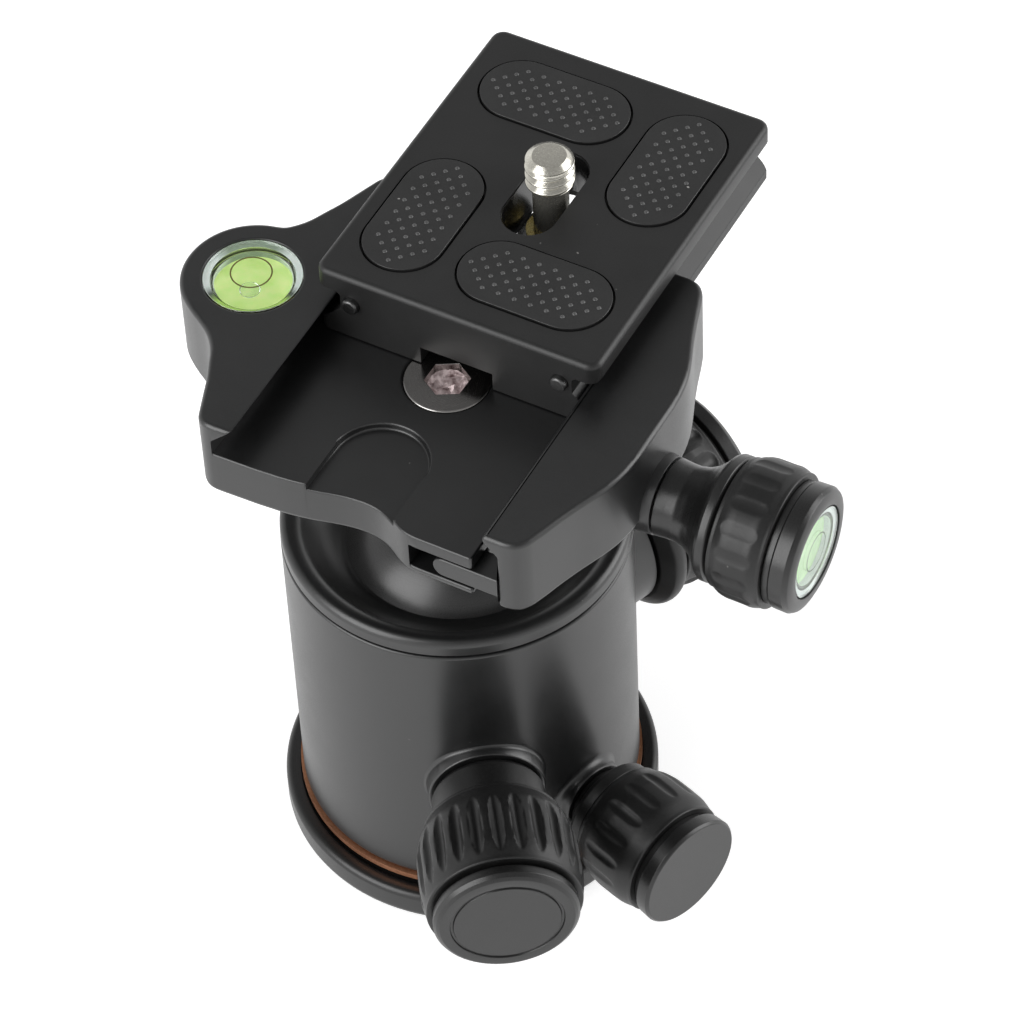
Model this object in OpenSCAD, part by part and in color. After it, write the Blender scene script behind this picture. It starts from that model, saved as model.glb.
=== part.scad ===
// Tripod ball head with a bottom panning base, three side knobs and a
// quick-release clamp. All dimensions in millimetres, +Z up. The origin is the
// centre of the base's underside, on the axis of the tripod thread. +X runs
// across the clamp towards its knob, +Y runs along the plate channel towards
// the end where the camera plate sticks out.

/* [Base] */
// Outer radius of the round foot
foot_r = 24.8; // [24.2:0.1:26]
// Height of the foot ring
foot_h = 4.7; // [4.2:0.1:5]
// Radius of the tripod thread in the insert (3/8 inch major radius)
tripod_thread_r = 4.76; // [4.6:0.02:4.9]
// Depth of the tripod thread
tripod_thread_depth = 11; // [8:0.5:12]
// Outer radius of the thread insert
insert_r = 6.3; // [6:0.1:6.8]
// Radius of the centre post that the head pans on
post_r = 8.5; // [8:0.1:9]
// Outer radius of the copper friction washer
washer_r = 22.7; // [22.3:0.1:22.8]
// Thickness of the copper friction washer
washer_t = 0.8; // [0.6:0.1:0.9]

/* [Housing] */
// Outer radius of the ball housing
housing_r = 22.35; // [22:0.05:23]
// Height of the seam between the housing and its top ring
housing_top = 51.4; // [50.8:0.1:52]
// Radius of the hollow inside the housing
cavity_r = 18.9; // [18.7:0.05:19.1]
// Half width of the notch that the stem drops into
notch_r = 8.7; // [8.2:0.1:9]
// Heading of that notch, in degrees from +X
notch_az = 155; // [150:1:157]
// Height of the top edge of the top ring
ring_top = 54.2; // [53.8:0.1:55]
// Radius of the opening that the ball shows through
opening_r = 14.3; // [14:0.1:15]

/* [Ball and stem] */
// Radius of the ball
ball_r = 18; // [17.8:0.05:18.1]
// Height of the centre of the ball
ball_z = 38.2; // [38:0.1:38.4]
// Radius of the stem
stem_r = 7.5; // [6.8:0.1:7.8]
// Radius of the polished head of the screw that holds the clamp
fixing_head_r = 5.5; // [5:0.1:5.8]

/* [Side knobs] */
// Heading of the friction knob, in degrees from +X
drag_az = -54.6; // [-58:0.2:-51]
// Height of the friction knob's axis
drag_z = 26.2; // [25:0.2:27]
// Distance from the ball's axis to the end of the friction knob
drag_end = 44.5; // [43.5:0.1:46]
// Largest radius of the friction knob
drag_r = 10.3; // [10:0.1:11]
// Heading of the pan lock knob
pan_az = -18; // [-22:0.5:-14]
// Height of the pan lock knob's axis
pan_z = 16.6; // [16.2:0.1:17]
// Distance from the ball's axis to the end of the pan lock knob
pan_end = 41.2; // [40.5:0.1:43]
// Largest radius of the pan lock knob
pan_r = 8.4; // [8:0.1:8.8]
// Heading of the main lock knob
main_az = 69; // [62:0.5:76]
// Height of the main lock knob's axis
main_z = 32.5; // [32:0.1:33.5]
// Distance from the ball's axis to the end of the main lock knob
main_end = 41.5; // [41:0.1:44]
// Largest radius of the main lock knob
main_r = 13.2; // [12.6:0.1:13.6]
// Number of flutes around the friction knob
drag_flutes = 24; // [12:1:28]
// Number of flutes around the main lock knob
main_flutes = 18; // [12:1:24]
// Number of flutes around the pan lock knob
pan_flutes = 16; // [10:1:20]

/* [Clamp] */
// Height of the channel floor
floor_z = 78.1; // [77.8:0.1:78.6]
// Height of the top of the clamp's walls
wall_top = 83.1; // [82.9:0.1:83.5]
// Height of the underside of the clamp
clamp_bottom = 71.1; // [70.6:0.1:71.4]
// Half length of the clamp along the channel
clamp_half = 24.3; // [24:0.1:25]
// Right edge of the channel floor
floor_right = 16.5; // [16:0.1:16.8]
// Inner face of the jaw below its lip, as set out
jaw_face = 20.0; // [19.8:0.1:20.4]
// Distance that the dovetail lips reach over the plate
lip = 2.0; // [1.6:0.1:2.4]
// Distance of the level lobe's centre from the axis
lobe_x = -27.5; // [-27.7:0.1:-26.8]
// Offset of the level lobe along the channel
lobe_y = 0.6; // [0:0.1:1]
// Radius of the level lobe
lobe_r = 9.1; // [8.8:0.1:9.4]
// Radius of the round levels
level_r = 6.25; // [6:0.05:6.5]

/* [Clamp knob] */
// Height of the clamp knob's axis
clamp_knob_z = 71.7; // [71.4:0.1:72.2]
// Distance from the ball's axis to the end of the clamp knob
clamp_knob_end = 50.3; // [49.5:0.1:52]
// Largest radius of the clamp knob
clamp_knob_r = 9.0; // [8.6:0.1:9.4]
// Number of flutes around the clamp knob
clamp_flutes = 16; // [10:1:22]
// Radius of the clamp screw (M5)
clamp_screw_r = 2.5; // [2.4:0.05:2.6]

/* [Camera plate] */
// Width of the plate's top
plate_w = 39; // [38.4:0.1:39.6]
// Length of the plate
plate_l = 47.4; // [46:0.1:48]
// Width of the plate's dovetail base
plate_base_w = 37.8; // [37.4:0.1:38]
// Height of the plate's top face
plate_top = 88.6; // [88.3:0.1:89]
// Distance that the plate is pushed out of the clamp
plate_out = 24.5; // [20:0.5:28]
// Sideways rest position of the plate, against the opened jaw
plate_x = 0.9; // [0.8:0.05:1]
// Length of each rubber pad
pad_l = 20.1; // [19.5:0.1:20.4]
// Width of each rubber pad
pad_w = 10.4; // [10:0.1:10.6]
// Height that the pads stand proud of the plate
pad_proud = 0.35; // [0.2:0.05:0.6]
// Radius of the camera screw's thread (1/4 inch)
camera_screw_r = 3.12; // [3.05:0.01:3.18]
// Height of the camera screw above the plate
camera_screw_h = 5.9; // [4.6:0.1:6.4]

/* [Hidden] */
run = 0.06;       // running clearance between a shaft and its hole
gap = 0.3;        // gap between two bodies that don't guide each other
skin = 0.04;      // clearance between pieces of one body
eps = 0.01;
land_r = washer_r - 2.1;              // raised land under the friction washer
land_top = foot_h + 0.85;
washer_z = land_top + skin;
housing_z = washer_z + washer_t + 0.1;
groove_low = ball_z - 23.3;           // groove of the post that the pan pad grips
deck_z = ball_z - ball_r - 2.1;       // inner floor of the housing
post_top = deck_z + 0.12;
keeper_r = post_r + 1.9;              // retaining plate on the post
keeper_t = 1.4;
keeper_pcr = post_r - 1.5;            // circle of its three screws
cup_r = cavity_r - 0.5;               // cup under the ball
cup_in = ball_r * 0.533;
cup_z = ball_z - 16.2;
cup_top = ball_z - 8.2;
cup_groove = cup_r - 2.2;
spring_mid = (deck_z + cup_z) / 2;
ball_clear = 0.08;
thread_r = cavity_r + 1.0;            // thread that holds the top ring
thread_z = housing_top - 4.2;
notch_z = ball_z - 0.4;               // height of the drop notch's round end
main_stud_r = 3.0;
drag_stud_r = 3.0;
pan_stud_r = 2.5;
pad_r = 4.2;                          // main lock's pressure pad
pad_out = cavity_r + 2.4;
pan_pad_r = 1.3;
pan_stud_in = cavity_r + 0.4;         // inner end of the pan lock's stud
drag_seat = housing_r + 1.35;         // outer faces of the three knob bosses
pan_seat = housing_r + 1.45;
main_seat = housing_r + 1.45;
fixing_r = 3.0;                       // screw that holds clamp, stem and ball
fixing_low = ball_z + 3.8;
stem_base = ball_z + ball_r * 0.9;
stem_top = clamp_bottom - 5.1;
waist_r = stem_r - 0.8;
hub_r = 11.5;
slot_low = clamp_bottom + 1.4;        // guide slots of the jaw's tongues
slot_high = slot_low + 3.6;
slot_deep = 4.2;
slot_left = floor_right - 8.7;
tongue_t = slot_high - slot_low - 2 * gap;
tongue_deep = slot_deep - gap;
tongue_left = slot_left + 3.2;
lip_z = floor_z + 2.1;                // where the dovetail lips begin to lean in
left_face = -jaw_face + 0.4;
left_tip = left_face + lip + 0.8;
jaw_tip = jaw_face - lip;
pocket_x = -0.9;                      // shallow pocket in the channel floor
pocket_r = 6.1;
pocket_y = 8.9 - clamp_half;
boss_r = 5.3;                         // boss of the clamp screw's thread
nose_r = 5.3;                         // boss of the jaw around the clamp screw
nose_end = jaw_face + 10.1;
hub_l = 8.8;                          // length of the clamp knob's waisted hub
spring_y = 14;                        // springs that push the jaw open
spring_z = slot_low + 2.1;
spring_r = 2.0;
spring_l = floor_right - 3.3;
level_h = 7.3;                        // round levels
level_wall = 1.3;
cap_in = clamp_knob_end - 6.3;        // level pocket of the clamp knob
plate_z = floor_z + 0.2;
plate_y = plate_out;
plate_x0 = plate_x - plate_w / 2;
flange_z = plate_top - 3.0;
neck_half = plate_w / 2 - 3.5;
rail_top = plate_z + 1.7;
neck_low = rail_top + plate_base_w / 2 - neck_half;
groove_half = 5.0;
groove_top = plate_z + 2.7;
slot_half = 3.6;
slot_len = 15.5;
pin_r = 1.1;
pin_x = plate_w / 2 - 5.1;
pin_z = flange_z - 1.4;
screw_x = plate_x + 0.3;
screw_y = plate_y + 0.8;
shank_r = camera_screw_r - 0.82;
head_r = groove_half - 0.6;
head_top = groove_top - 0.95;

$fn = 96;

// places its children with their +Z pointing outwards along a knob's axis
module outward(az, z) translate([0, 0, z]) rotate([0, 0, az]) rotate([0, 90, 0]) children();

// places its children with their +Z along +X on the clamp screw's axis
module along_x(x) translate([x, 0, clamp_knob_z]) rotate([0, 90, 0]) children();

// solid of revolution about Z from (radius, height) points
module turned(pts) rotate_extrude() polygon(pts);

// barrel-shaped grip from h0 to h1 with lens-shaped flutes cut around it
module barrel(h0, h1, r0, rm, r1, bore, n, cut) {
    mid = (h0 + h1) / 2;
    difference() {
        turned([[bore, h0], [r0 - 0.5, h0], [r0, h0 + 0.5],
                [(r0 + rm) / 2 + 0.2, h0 + (mid - h0) * 0.35], [rm, mid - 1.2],
                [rm, mid + 1.2], [(r1 + rm) / 2 + 0.2, h1 - (h1 - mid) * 0.35],
                [r1, h1 - 0.5], [r1 - 0.5, h1], [bore, h1]]);
        for (i = [0 : n - 1]) rotate([0, 0, i * 360 / n])
            translate([rm + cut - 0.75, 0, h0 + 1.2]) cylinder(r = cut, h = h1 - h0 - 2.4, $fn = 24);
    }
}

// notch in the housing's side that the stem drops into, round at its lower end
module drop_notch() {
    rotate([0, 0, notch_az]) {
        translate([housing_r - 10, -notch_r, notch_z]) cube([16, 2 * notch_r, ring_top]);
        translate([housing_r - 10, 0, notch_z]) rotate([0, 90, 0]) cylinder(r = notch_r, h = 16);
    }
}

// hollow that the ball turns in
module ball_room() translate([0, 0, ball_z]) sphere(r = ball_r + ball_clear, $fn = 128);

// three places of the retaining screws
module at_keeper_screws()
    for (i = [0 : 2]) rotate([0, 0, 30 + 120 * i]) translate([keeper_pcr, 0, 0]) children();

// ---------------------------------------------------------------- base body
module base_plate() color([0.12, 0.12, 0.13]) difference() {
    turned([[0, 0], [foot_r - 1.6, 0], [foot_r - 0.5, 0.5], [foot_r, 1.5], [foot_r, foot_h - 1.8],
            [foot_r - 0.4, foot_h - 0.8], [foot_r - 1.1, foot_h], [foot_r - 1.9, foot_h],
            [foot_r - 2.3, foot_h - 0.5], [land_r, foot_h - 0.5], [land_r, land_top], [post_r, land_top],
            [post_r, groove_low], [post_r - 0.35, groove_low + 0.35], [post_r - 0.35, groove_low + 2.65],
            [post_r, groove_low + 3], [post_r, post_top], [0, post_top]]);
    translate([0, 0, -eps]) cylinder(r = insert_r + skin, h = tripod_thread_depth + 0.4);
    at_keeper_screws() translate([0, 0, post_top - 5]) cylinder(r = 0.95, h = 6, $fn = 24);
}

module thread_insert() color([0.75, 0.75, 0.76]) difference() {
    cylinder(r = insert_r, h = tripod_thread_depth);
    translate([0, 0, -eps]) cylinder(r = tripod_thread_r, h = tripod_thread_depth + 1);
}

module friction_washer() color([0.80, 0.42, 0.22]) translate([0, 0, washer_z]) difference() {
    cylinder(r = washer_r, h = washer_t);
    translate([0, 0, -1]) cylinder(r = post_r + 0.4, h = 4);
}

module keeper_plate() color([0.7, 0.7, 0.72]) translate([0, 0, post_top + skin]) difference() {
    cylinder(r = keeper_r, h = keeper_t);
    at_keeper_screws() {
        translate([0, 0, -1]) cylinder(r = 1.15, h = 6, $fn = 24);
        translate([0, 0, keeper_t - 0.7]) cylinder(r = 1.95, h = 6, $fn = 24);
    }
}

module keeper_screws() color([0.6, 0.6, 0.62]) at_keeper_screws() translate([0, 0, post_top - 4.5]) {
    cylinder(r = 0.9, h = 4.5 + keeper_t - 0.6, $fn = 24);
    translate([0, 0, 4.5 + keeper_t - 0.61]) cylinder(r = 1.85, h = 0.6, $fn = 24);
}

// ------------------------------------------------------------- housing body
module housing() color([0.10, 0.10, 0.11]) difference() {
    union() {
        turned([[0, housing_z], [housing_r - 0.7, housing_z], [housing_r, housing_z + 0.7],
                [housing_r, housing_top - 0.4], [housing_r - 0.4, housing_top], [0, housing_top]]);
        outward(drag_az, drag_z) turned([[0, 10], [8.6, 10], [8.6, drag_seat - 3.1], [7.9, drag_seat - 1.9],
            [7.7, drag_seat - 1.1], [7.5, drag_seat - 0.4], [6.6, drag_seat], [0, drag_seat]]);
        outward(pan_az, pan_z) turned([[0, 12], [6.4, 12], [6.4, pan_seat - 3.0], [5.2, pan_seat - 1.8],
            [4.8, pan_seat - 0.6], [4.4, pan_seat], [0, pan_seat]]);
        outward(main_az, main_z) turned([[0, 8], [main_r - 2.2, 8], [main_r - 2.2, main_seat - 0.9],
            [main_r - 2.5, main_seat - 0.3], [main_r - 3.1, main_seat], [0, main_seat]]);
    }
    translate([0, 0, deck_z]) cylinder(r = cavity_r, h = 60);
    translate([0, 0, thread_z]) cylinder(r = thread_r, h = 10);
    translate([0, 0, -1]) cylinder(r = post_r + run, h = 30);
    drop_notch();
    outward(drag_az, drag_z) cylinder(r = drag_stud_r + run, h = 40);
    outward(pan_az, pan_z) {
        cylinder(r = pan_pad_r + run, h = 40);
        translate([0, 0, pan_stud_in - 0.1]) cylinder(r = pan_stud_r + run, h = 40);
    }
    outward(main_az, main_z) {
        cylinder(r = main_stud_r + run, h = 60);
        cylinder(r = pad_r + 0.1, h = pad_out + 0.5);
    }
}

module top_ring() color([0.09, 0.09, 0.10]) difference() {
    turned([[opening_r - 0.8, thread_z + skin], [thread_r - skin, thread_z + skin],
            [thread_r - skin, housing_top + skin],
            [housing_r - 0.25, housing_top + skin], [housing_r - 0.05, housing_top + 0.4],
            [housing_r - 0.1, ring_top - 1.4], [housing_r - 0.5, ring_top - 0.6],
            [housing_r - 1.1, ring_top - 0.1], [housing_r - 1.7, ring_top],
            [housing_r - 2.2, ring_top - 0.3], [housing_r - 2.8, ring_top - 0.9],
            [housing_r - 3.8, ring_top - 2.2],
            [opening_r + 2.9, ring_top - 3.4], [opening_r + 1.5, ring_top - 4.2],
            [opening_r + 0.3, ring_top - 4.7], [opening_r - 0.2, ring_top - 4.9],
            [opening_r - 0.8, ring_top - 4.9]]);
    ball_room();
    drop_notch();
}

module ball_cup() color([0.85, 0.85, 0.82]) difference() {
    turned([[cup_in, cup_z], [cup_r, cup_z], [cup_r, drag_z - 2.4], [cup_groove, drag_z - 0.4],
            [cup_groove, drag_z + 0.4], [cup_r, drag_z + 2.2], [cup_r, cup_top - 0.7],
            [cup_r - 0.7, cup_top], [cup_in, cup_top]]);
    ball_room();
    outward(main_az, main_z) cylinder(r = pad_r + 0.5, h = 40);
}

// two disc springs, back to back, between the floor and the cup
module cup_springs() color([0.62, 0.62, 0.65]) {
    turned([[cup_r - 0.6, deck_z + skin], [cup_r - 0.6, deck_z + 0.7], [keeper_r + 0.8, spring_mid - 0.05],
            [keeper_r + 0.8, spring_mid - 0.7]]);
    turned([[cup_r - 0.6, cup_z - skin], [cup_r - 0.6, cup_z - 0.7], [keeper_r + 0.8, spring_mid + 0.05],
            [keeper_r + 0.8, spring_mid + 0.7]]);
}

module main_pad() color([0.86, 0.84, 0.78]) difference() {
    outward(main_az, main_z) translate([0, 0, ball_r - 2.5])
        cylinder(r = pad_r, h = pad_out - ball_r + 2.5, $fn = 48);
    ball_room();
}

module pan_pad() color([0.78, 0.62, 0.30]) outward(pan_az, pan_z)
    translate([0, 0, post_r + 0.1]) cylinder(r = pan_pad_r, h = pan_stud_in - post_r - 0.2, $fn = 32);

// ------------------------------------------------------------- knob bodies
module main_stud() color([0.72, 0.72, 0.74]) outward(main_az, main_z)
    translate([0, 0, pad_out + 0.1]) cylinder(r = main_stud_r, h = main_end - 2.9 - pad_out, $fn = 48);

module main_grip() color([0.09, 0.09, 0.09]) outward(main_az, main_z) {
    turned([[main_stud_r + skin, main_seat + gap], [main_r - 1.9, main_seat + gap],
            [main_r - 0.8, main_seat + 0.7], [main_r, main_seat + 1.5], [main_r + 0.15, main_seat + 2.2],
            [main_r, main_seat + 2.9], [main_r - 0.6, main_seat + 3.5], [main_r - 1.6, main_seat + 3.9],
            [main_stud_r + skin, main_seat + 3.9]]);
    barrel(main_seat + 3.6, main_end - 3.2, main_r - 0.9, main_r, main_r - 1.9, main_stud_r + skin,
           main_flutes, 1.5);
}

module main_cap() color([0.11, 0.11, 0.11]) outward(main_az, main_z) difference() {
    turned([[0, main_end - 2.7], [main_stud_r + 0.6, main_end - 2.7], [main_r - 3.0, main_end - 3.1],
            [main_r - 3.0, main_end - 2.5],
            [main_r - 2.1, main_end - 2.4], [main_r - 2.0, main_end - 0.7], [main_r - 2.6, main_end - 0.1],
            [main_r - 3.2, main_end], [0, main_end]]);
    translate([0, 0, main_end - 0.25]) difference() {
        cylinder(r = main_r - 4.1, h = 1);
        translate([0, 0, -1]) cylinder(r = main_r - 4.6, h = 3);
    }
}

module drag_stud() color([0.72, 0.72, 0.74]) outward(drag_az, drag_z)
    turned([[0, cup_groove + 1.1], [0.9, cup_groove + 1.1], [drag_stud_r, cup_groove + 3.2],
            [drag_stud_r, drag_end - 2.5], [0, drag_end - 2.5]]);

module drag_grip() color([0.09, 0.09, 0.09]) outward(drag_az, drag_z) {
    turned([[drag_stud_r + skin, drag_seat + gap], [6.9, drag_seat + gap], [7.2, drag_seat + 0.9],
            [7.3, drag_seat + 5.0], [7.9, drag_seat + 5.6], [drag_stud_r + skin, drag_seat + 5.6]]);
    barrel(drag_seat + 5.5, drag_end - 2.5, drag_r - 1.4, drag_r, drag_r - 0.4, drag_stud_r + skin,
           drag_flutes, 1.15);
}

module drag_cap() color([0.11, 0.11, 0.11]) outward(drag_az, drag_z) difference() {
    turned([[0, drag_end - 2.45], [drag_r - 2.1, drag_end - 2.45], [drag_r - 2.0, drag_end - 2.2],
            [drag_r - 1.0, drag_end - 2.0], [drag_r - 0.95, drag_end - 0.9], [drag_r - 1.4, drag_end - 0.2],
            [drag_r - 2.1, drag_end], [0, drag_end]]);
    translate([0, 0, drag_end - 0.25]) difference() {
        cylinder(r = drag_r - 3.05, h = 1);
        translate([0, 0, -1]) cylinder(r = drag_r - 3.45, h = 3);
    }
}

module pan_stud() color([0.72, 0.72, 0.74]) outward(pan_az, pan_z)
    translate([0, 0, pan_stud_in]) cylinder(r = pan_stud_r, h = pan_end - 3.0 - pan_stud_in, $fn = 48);

module pan_grip() color([0.09, 0.09, 0.09]) outward(pan_az, pan_z) {
    turned([[pan_stud_r + skin, pan_seat + gap], [4.4, pan_seat + gap], [4.7, pan_seat + 1.0],
            [pan_r - 2.0, pan_seat + 1.9], [pan_r - 1.5, pan_seat + 2.5], [pan_r - 1.5, pan_seat + 3.8],
            [pan_r - 1.8, pan_seat + 4.2], [pan_stud_r + skin, pan_seat + 4.2]]);
    barrel(pan_seat + 4.1, pan_end - 3.1, pan_r - 1.0, pan_r, pan_r - 0.5, pan_stud_r + skin,
           pan_flutes, 1.2);
}

module pan_cap() color([0.11, 0.11, 0.11]) outward(pan_az, pan_z)
    turned([[0, pan_end - 2.9], [pan_r - 1.4, pan_end - 3.05], [pan_r - 1.3, pan_end - 2.2],
            [pan_r - 0.7, pan_end - 2.1], [pan_r - 0.6, pan_end - 0.4], [pan_r - 0.9, pan_end],
            [0, pan_end]]);

// ----------------------------------------------------------- ball and clamp
module ball() color([0.16, 0.16, 0.17]) difference() {
    translate([0, 0, ball_z]) sphere(r = ball_r, $fn = 160);
    translate([0, 0, stem_base - skin]) cylinder(r = ball_r, h = ball_r);
    translate([0, 0, fixing_low - 3]) cylinder(r = fixing_r + run, h = ball_r * 2);
}

module stem() color([0.12, 0.12, 0.13]) difference() {
    turned([[0, stem_base], [stem_r, stem_base], [stem_r, stem_base + 1.2], [waist_r, stem_base + 3.2],
            [waist_r, stem_top - 3.4], [stem_r + 0.3, stem_top - 1.6], [stem_r + 0.4, stem_top],
            [0, stem_top]]);
    translate([0, 0, stem_base - 1]) cylinder(r = fixing_r + skin, h = 40);
}

// clamp outline: front of the channel floor, left wall and neck of the level's
// lobe, as points of the front half
front_edge = [[-19.2, 0.75], [-14, 0.9], [-10, 1.15], [-7.5, 1.5], [-5.5, 1.95], [-3.5, 2.45],
              [-1.5, 2.8], [0.8, 2.9], [2.6, 2.6], [4.2, 1.9], [5.6, 1.0], [6.9, 0.3], [8.4, 0]];
left_edge = [[-4.5, 7.9], [-3.6, 5.5], [-2.6, 2.9], [-2.2, 1.9], [-1.5, 1.2], [-0.6, 0.8]];
neck_edge = [[-6.0, -6.4], [-4.0, -7.75], [-2.2, -8.75], [-0.7, -9.8], [0.6, -11.1], [1.6, -12.6],
             [2.3, -14.2]];
front_pts = concat([for (p = front_edge) [p[0], p[1] - clamp_half]],
                   [[floor_right - 0.4, -clamp_half], [floor_right, -clamp_half + 0.4]]);
left_pts = [for (p = left_edge) [left_face + p[0], p[1] - clamp_half]];
neck_pts = [for (p = neck_edge) [lobe_x + p[0], p[1]]];
function mirrored(p) = [for (i = [len(p) - 1 : -1 : 0]) [p[i][0], -p[i][1]]];

module clamp_body() color([0.11, 0.11, 0.12]) difference() {
    union() {
        translate([0, 0, clamp_bottom]) linear_extrude(wall_top - clamp_bottom)
            polygon(concat(neck_pts, left_pts,
                           [[left_tip, 0.75 - clamp_half], [left_tip, clamp_half - 0.75]],
                           mirrored(left_pts), mirrored(neck_pts)));
        translate([0, 0, clamp_bottom]) linear_extrude(floor_z - clamp_bottom)
            polygon(concat(left_pts, front_pts, mirrored(front_pts), mirrored(left_pts)));
        translate([lobe_x, lobe_y, clamp_bottom]) cylinder(r = lobe_r, h = wall_top - clamp_bottom);
        translate([0, 0, stem_top + skin]) cylinder(r = hub_r, h = clamp_bottom - stem_top);
        along_x(slot_left) cylinder(r = boss_r, h = floor_right - slot_left);
    }
    // channel with the undercut of the left dovetail lip
    translate([0, 2 * clamp_half, 0]) rotate([90, 0, 0]) linear_extrude(4 * clamp_half)
        polygon([[left_face, floor_z], [left_face, lip_z], [left_tip, lip_z - left_face + left_tip],
                 [left_tip, wall_top + 1], [jaw_face + 10, wall_top + 1],
                 [jaw_face + 10, floor_z]]);
    // shallow U-shaped pocket in the floor
    translate([pocket_x, pocket_y, floor_z - 1]) cylinder(r = pocket_r, h = 3);
    translate([pocket_x - pocket_r, pocket_y - clamp_half, floor_z - 1]) cube([2 * pocket_r, clamp_half, 3]);
    // guide slots for the jaw's tongues
    for (s = [0, 1]) mirror([0, s, 0]) translate([slot_left, -clamp_half - 1, slot_low])
        cube([20, slot_deep + 1, slot_high - slot_low]);
    // clamp screw, springs, fixing screw and level
    along_x(4.4) cylinder(r = clamp_screw_r + run, h = 30);
    for (s = [-1, 1]) translate([slot_left + 0.7, s * spring_y, spring_z]) rotate([0, 90, 0])
        cylinder(r = spring_r + 0.2, h = 20);
    translate([0, 0, stem_top - 6]) cylinder(r = fixing_r + skin, h = 30);
    translate([0, 0, floor_z]) turned([[0, -3.1], [fixing_r, -3.1], [fixing_head_r + skin, -0.55],
                                       [fixing_head_r + skin, 2], [0, 2]]);
    translate([lobe_x, lobe_y, wall_top - level_h - 0.1]) cylinder(r = level_r + skin, h = 10);
}

// flat-headed screw with a hexagon socket
module fixing_screw() color([0.80, 0.80, 0.82]) difference() {
    union() {
        translate([0, 0, fixing_low]) cylinder(r = fixing_r, h = floor_z - 2.8 - fixing_low);
        translate([0, 0, floor_z]) turned([[0, -3.0], [fixing_r, -3.0], [fixing_head_r, -0.5],
                                           [fixing_head_r, -0.12], [fixing_head_r - 0.12, 0], [0, 0]]);
    }
    translate([0, 0, floor_z - 2.4]) rotate([0, 0, 29]) cylinder(r = 2.88, h = 4, $fn = 6);
}

module level_vial() color([0.85, 0.92, 0.90, 0.5]) translate([lobe_x, lobe_y, wall_top - level_h])
    difference() {
        cylinder(r = level_r, h = level_h);
        translate([0, 0, 1.2]) cylinder(r = level_r - level_wall, h = level_h - 2.7);
    }

module level_fluid() color([0.72, 0.90, 0.25]) translate([lobe_x, lobe_y, wall_top - level_h + 1.25])
    cylinder(r = level_r - level_wall - 0.05, h = level_h - 2.8);

// ------------------------------------------------------------------ the jaw
jaw_edge = [[0.4, 0], [1.9, 0.1], [2.9, 0.6], [3.5, 1.5], [4.3, 3.7], [5.2, 6.5], [6.2, 9.3], [7.3, 11.9],
            [8.2, 14.4], [8.7, 16.7], [8.9, 19.1]];
jaw_pts = [for (p = jaw_edge) [jaw_face + p[0], p[1] - clamp_half]];

// tongue that runs in a guide slot, on the front side
module tongue() translate([0, -clamp_half, slot_low + gap]) {
    translate([tongue_left + tongue_t / 2, 0, 0]) cube([jaw_face - tongue_left, tongue_deep, tongue_t]);
    translate([tongue_left + tongue_t / 2, tongue_deep, tongue_t / 2]) rotate([90, 0, 0])
        cylinder(r = tongue_t / 2, h = tongue_deep, $fn = 32);
}

module jaw() color([0.11, 0.11, 0.12]) difference() {
    union() {
        difference() {
            translate([0, 0, clamp_bottom - 0.1]) linear_extrude(wall_top - clamp_bottom + 0.1)
                polygon(concat([[jaw_tip, -clamp_half]], jaw_pts, mirrored(jaw_pts),
                               [[jaw_tip, clamp_half]]));
            // inner face and undercut of the lip
            translate([0, 2 * clamp_half, 0]) rotate([90, 0, 0]) linear_extrude(4 * clamp_half)
                polygon([[jaw_face, clamp_bottom - 9], [jaw_face, lip_z], [jaw_tip, lip_z + lip],
                         [jaw_tip, wall_top + 1], [0, wall_top + 1], [0, clamp_bottom - 9]]);
        }
        along_x(jaw_face + 0.1) turned([[0, 0], [nose_r + 0.8, 0], [nose_r + 0.4, 5.0], [nose_r, 8.8],
                                        [nose_r - 0.2, 9.7], [nose_r - 0.5, 10.0], [0, 10.0]]);
        for (s = [0, 1]) mirror([0, s, 0]) tongue();
    }
    along_x(jaw_face - 10) cylinder(r = clamp_screw_r + 0.2, h = 30);
    for (s = [-1, 1]) translate([jaw_face - 1, s * spring_y, spring_z]) rotate([0, 90, 0])
        cylinder(r = spring_r + 0.2, h = 4.5);
}

module jaw_springs() color([0.7, 0.7, 0.72]) for (s = [-1, 1])
    translate([slot_left + 0.8, s * spring_y, spring_z]) rotate([0, 90, 0])
        linear_extrude(height = spring_l, twist = -360 * 6, slices = 96, $fn = 8)
            translate([spring_r - 0.45, 0]) circle(r = 0.42, $fn = 8);

// ------------------------------------------------------------- clamp knob
module clamp_screw() color([0.72, 0.72, 0.74]) along_x(6.6)
    cylinder(r = clamp_screw_r, h = cap_in - 1.8 - 6.6, $fn = 48);

module clamp_hub() color([0.11, 0.11, 0.12]) along_x(nose_end + gap)
    turned([[clamp_screw_r + skin, 0], [4.8, 0], [5.0, 0.3], [4.85, 1.4], [4.85, 2.6], [5.2, 4.0], [5.9, 5.2],
            [6.9, hub_l - 2.6], [clamp_knob_r - 1.1, hub_l - 1.8], [clamp_knob_r - 0.85, hub_l - 1.4],
            [clamp_knob_r - 0.85, hub_l - 0.5], [clamp_knob_r - 1.2, hub_l - 0.2],
            [clamp_knob_r - 1.5, hub_l], [clamp_screw_r + skin, hub_l]]);

module clamp_grip() color([0.09, 0.09, 0.09]) along_x(0)
    barrel(nose_end + gap + hub_l + skin, clamp_knob_end - 3.8, clamp_knob_r - 0.7, clamp_knob_r,
           clamp_knob_r - 0.3, level_r + 0.15, clamp_flutes, 1.2);

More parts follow.
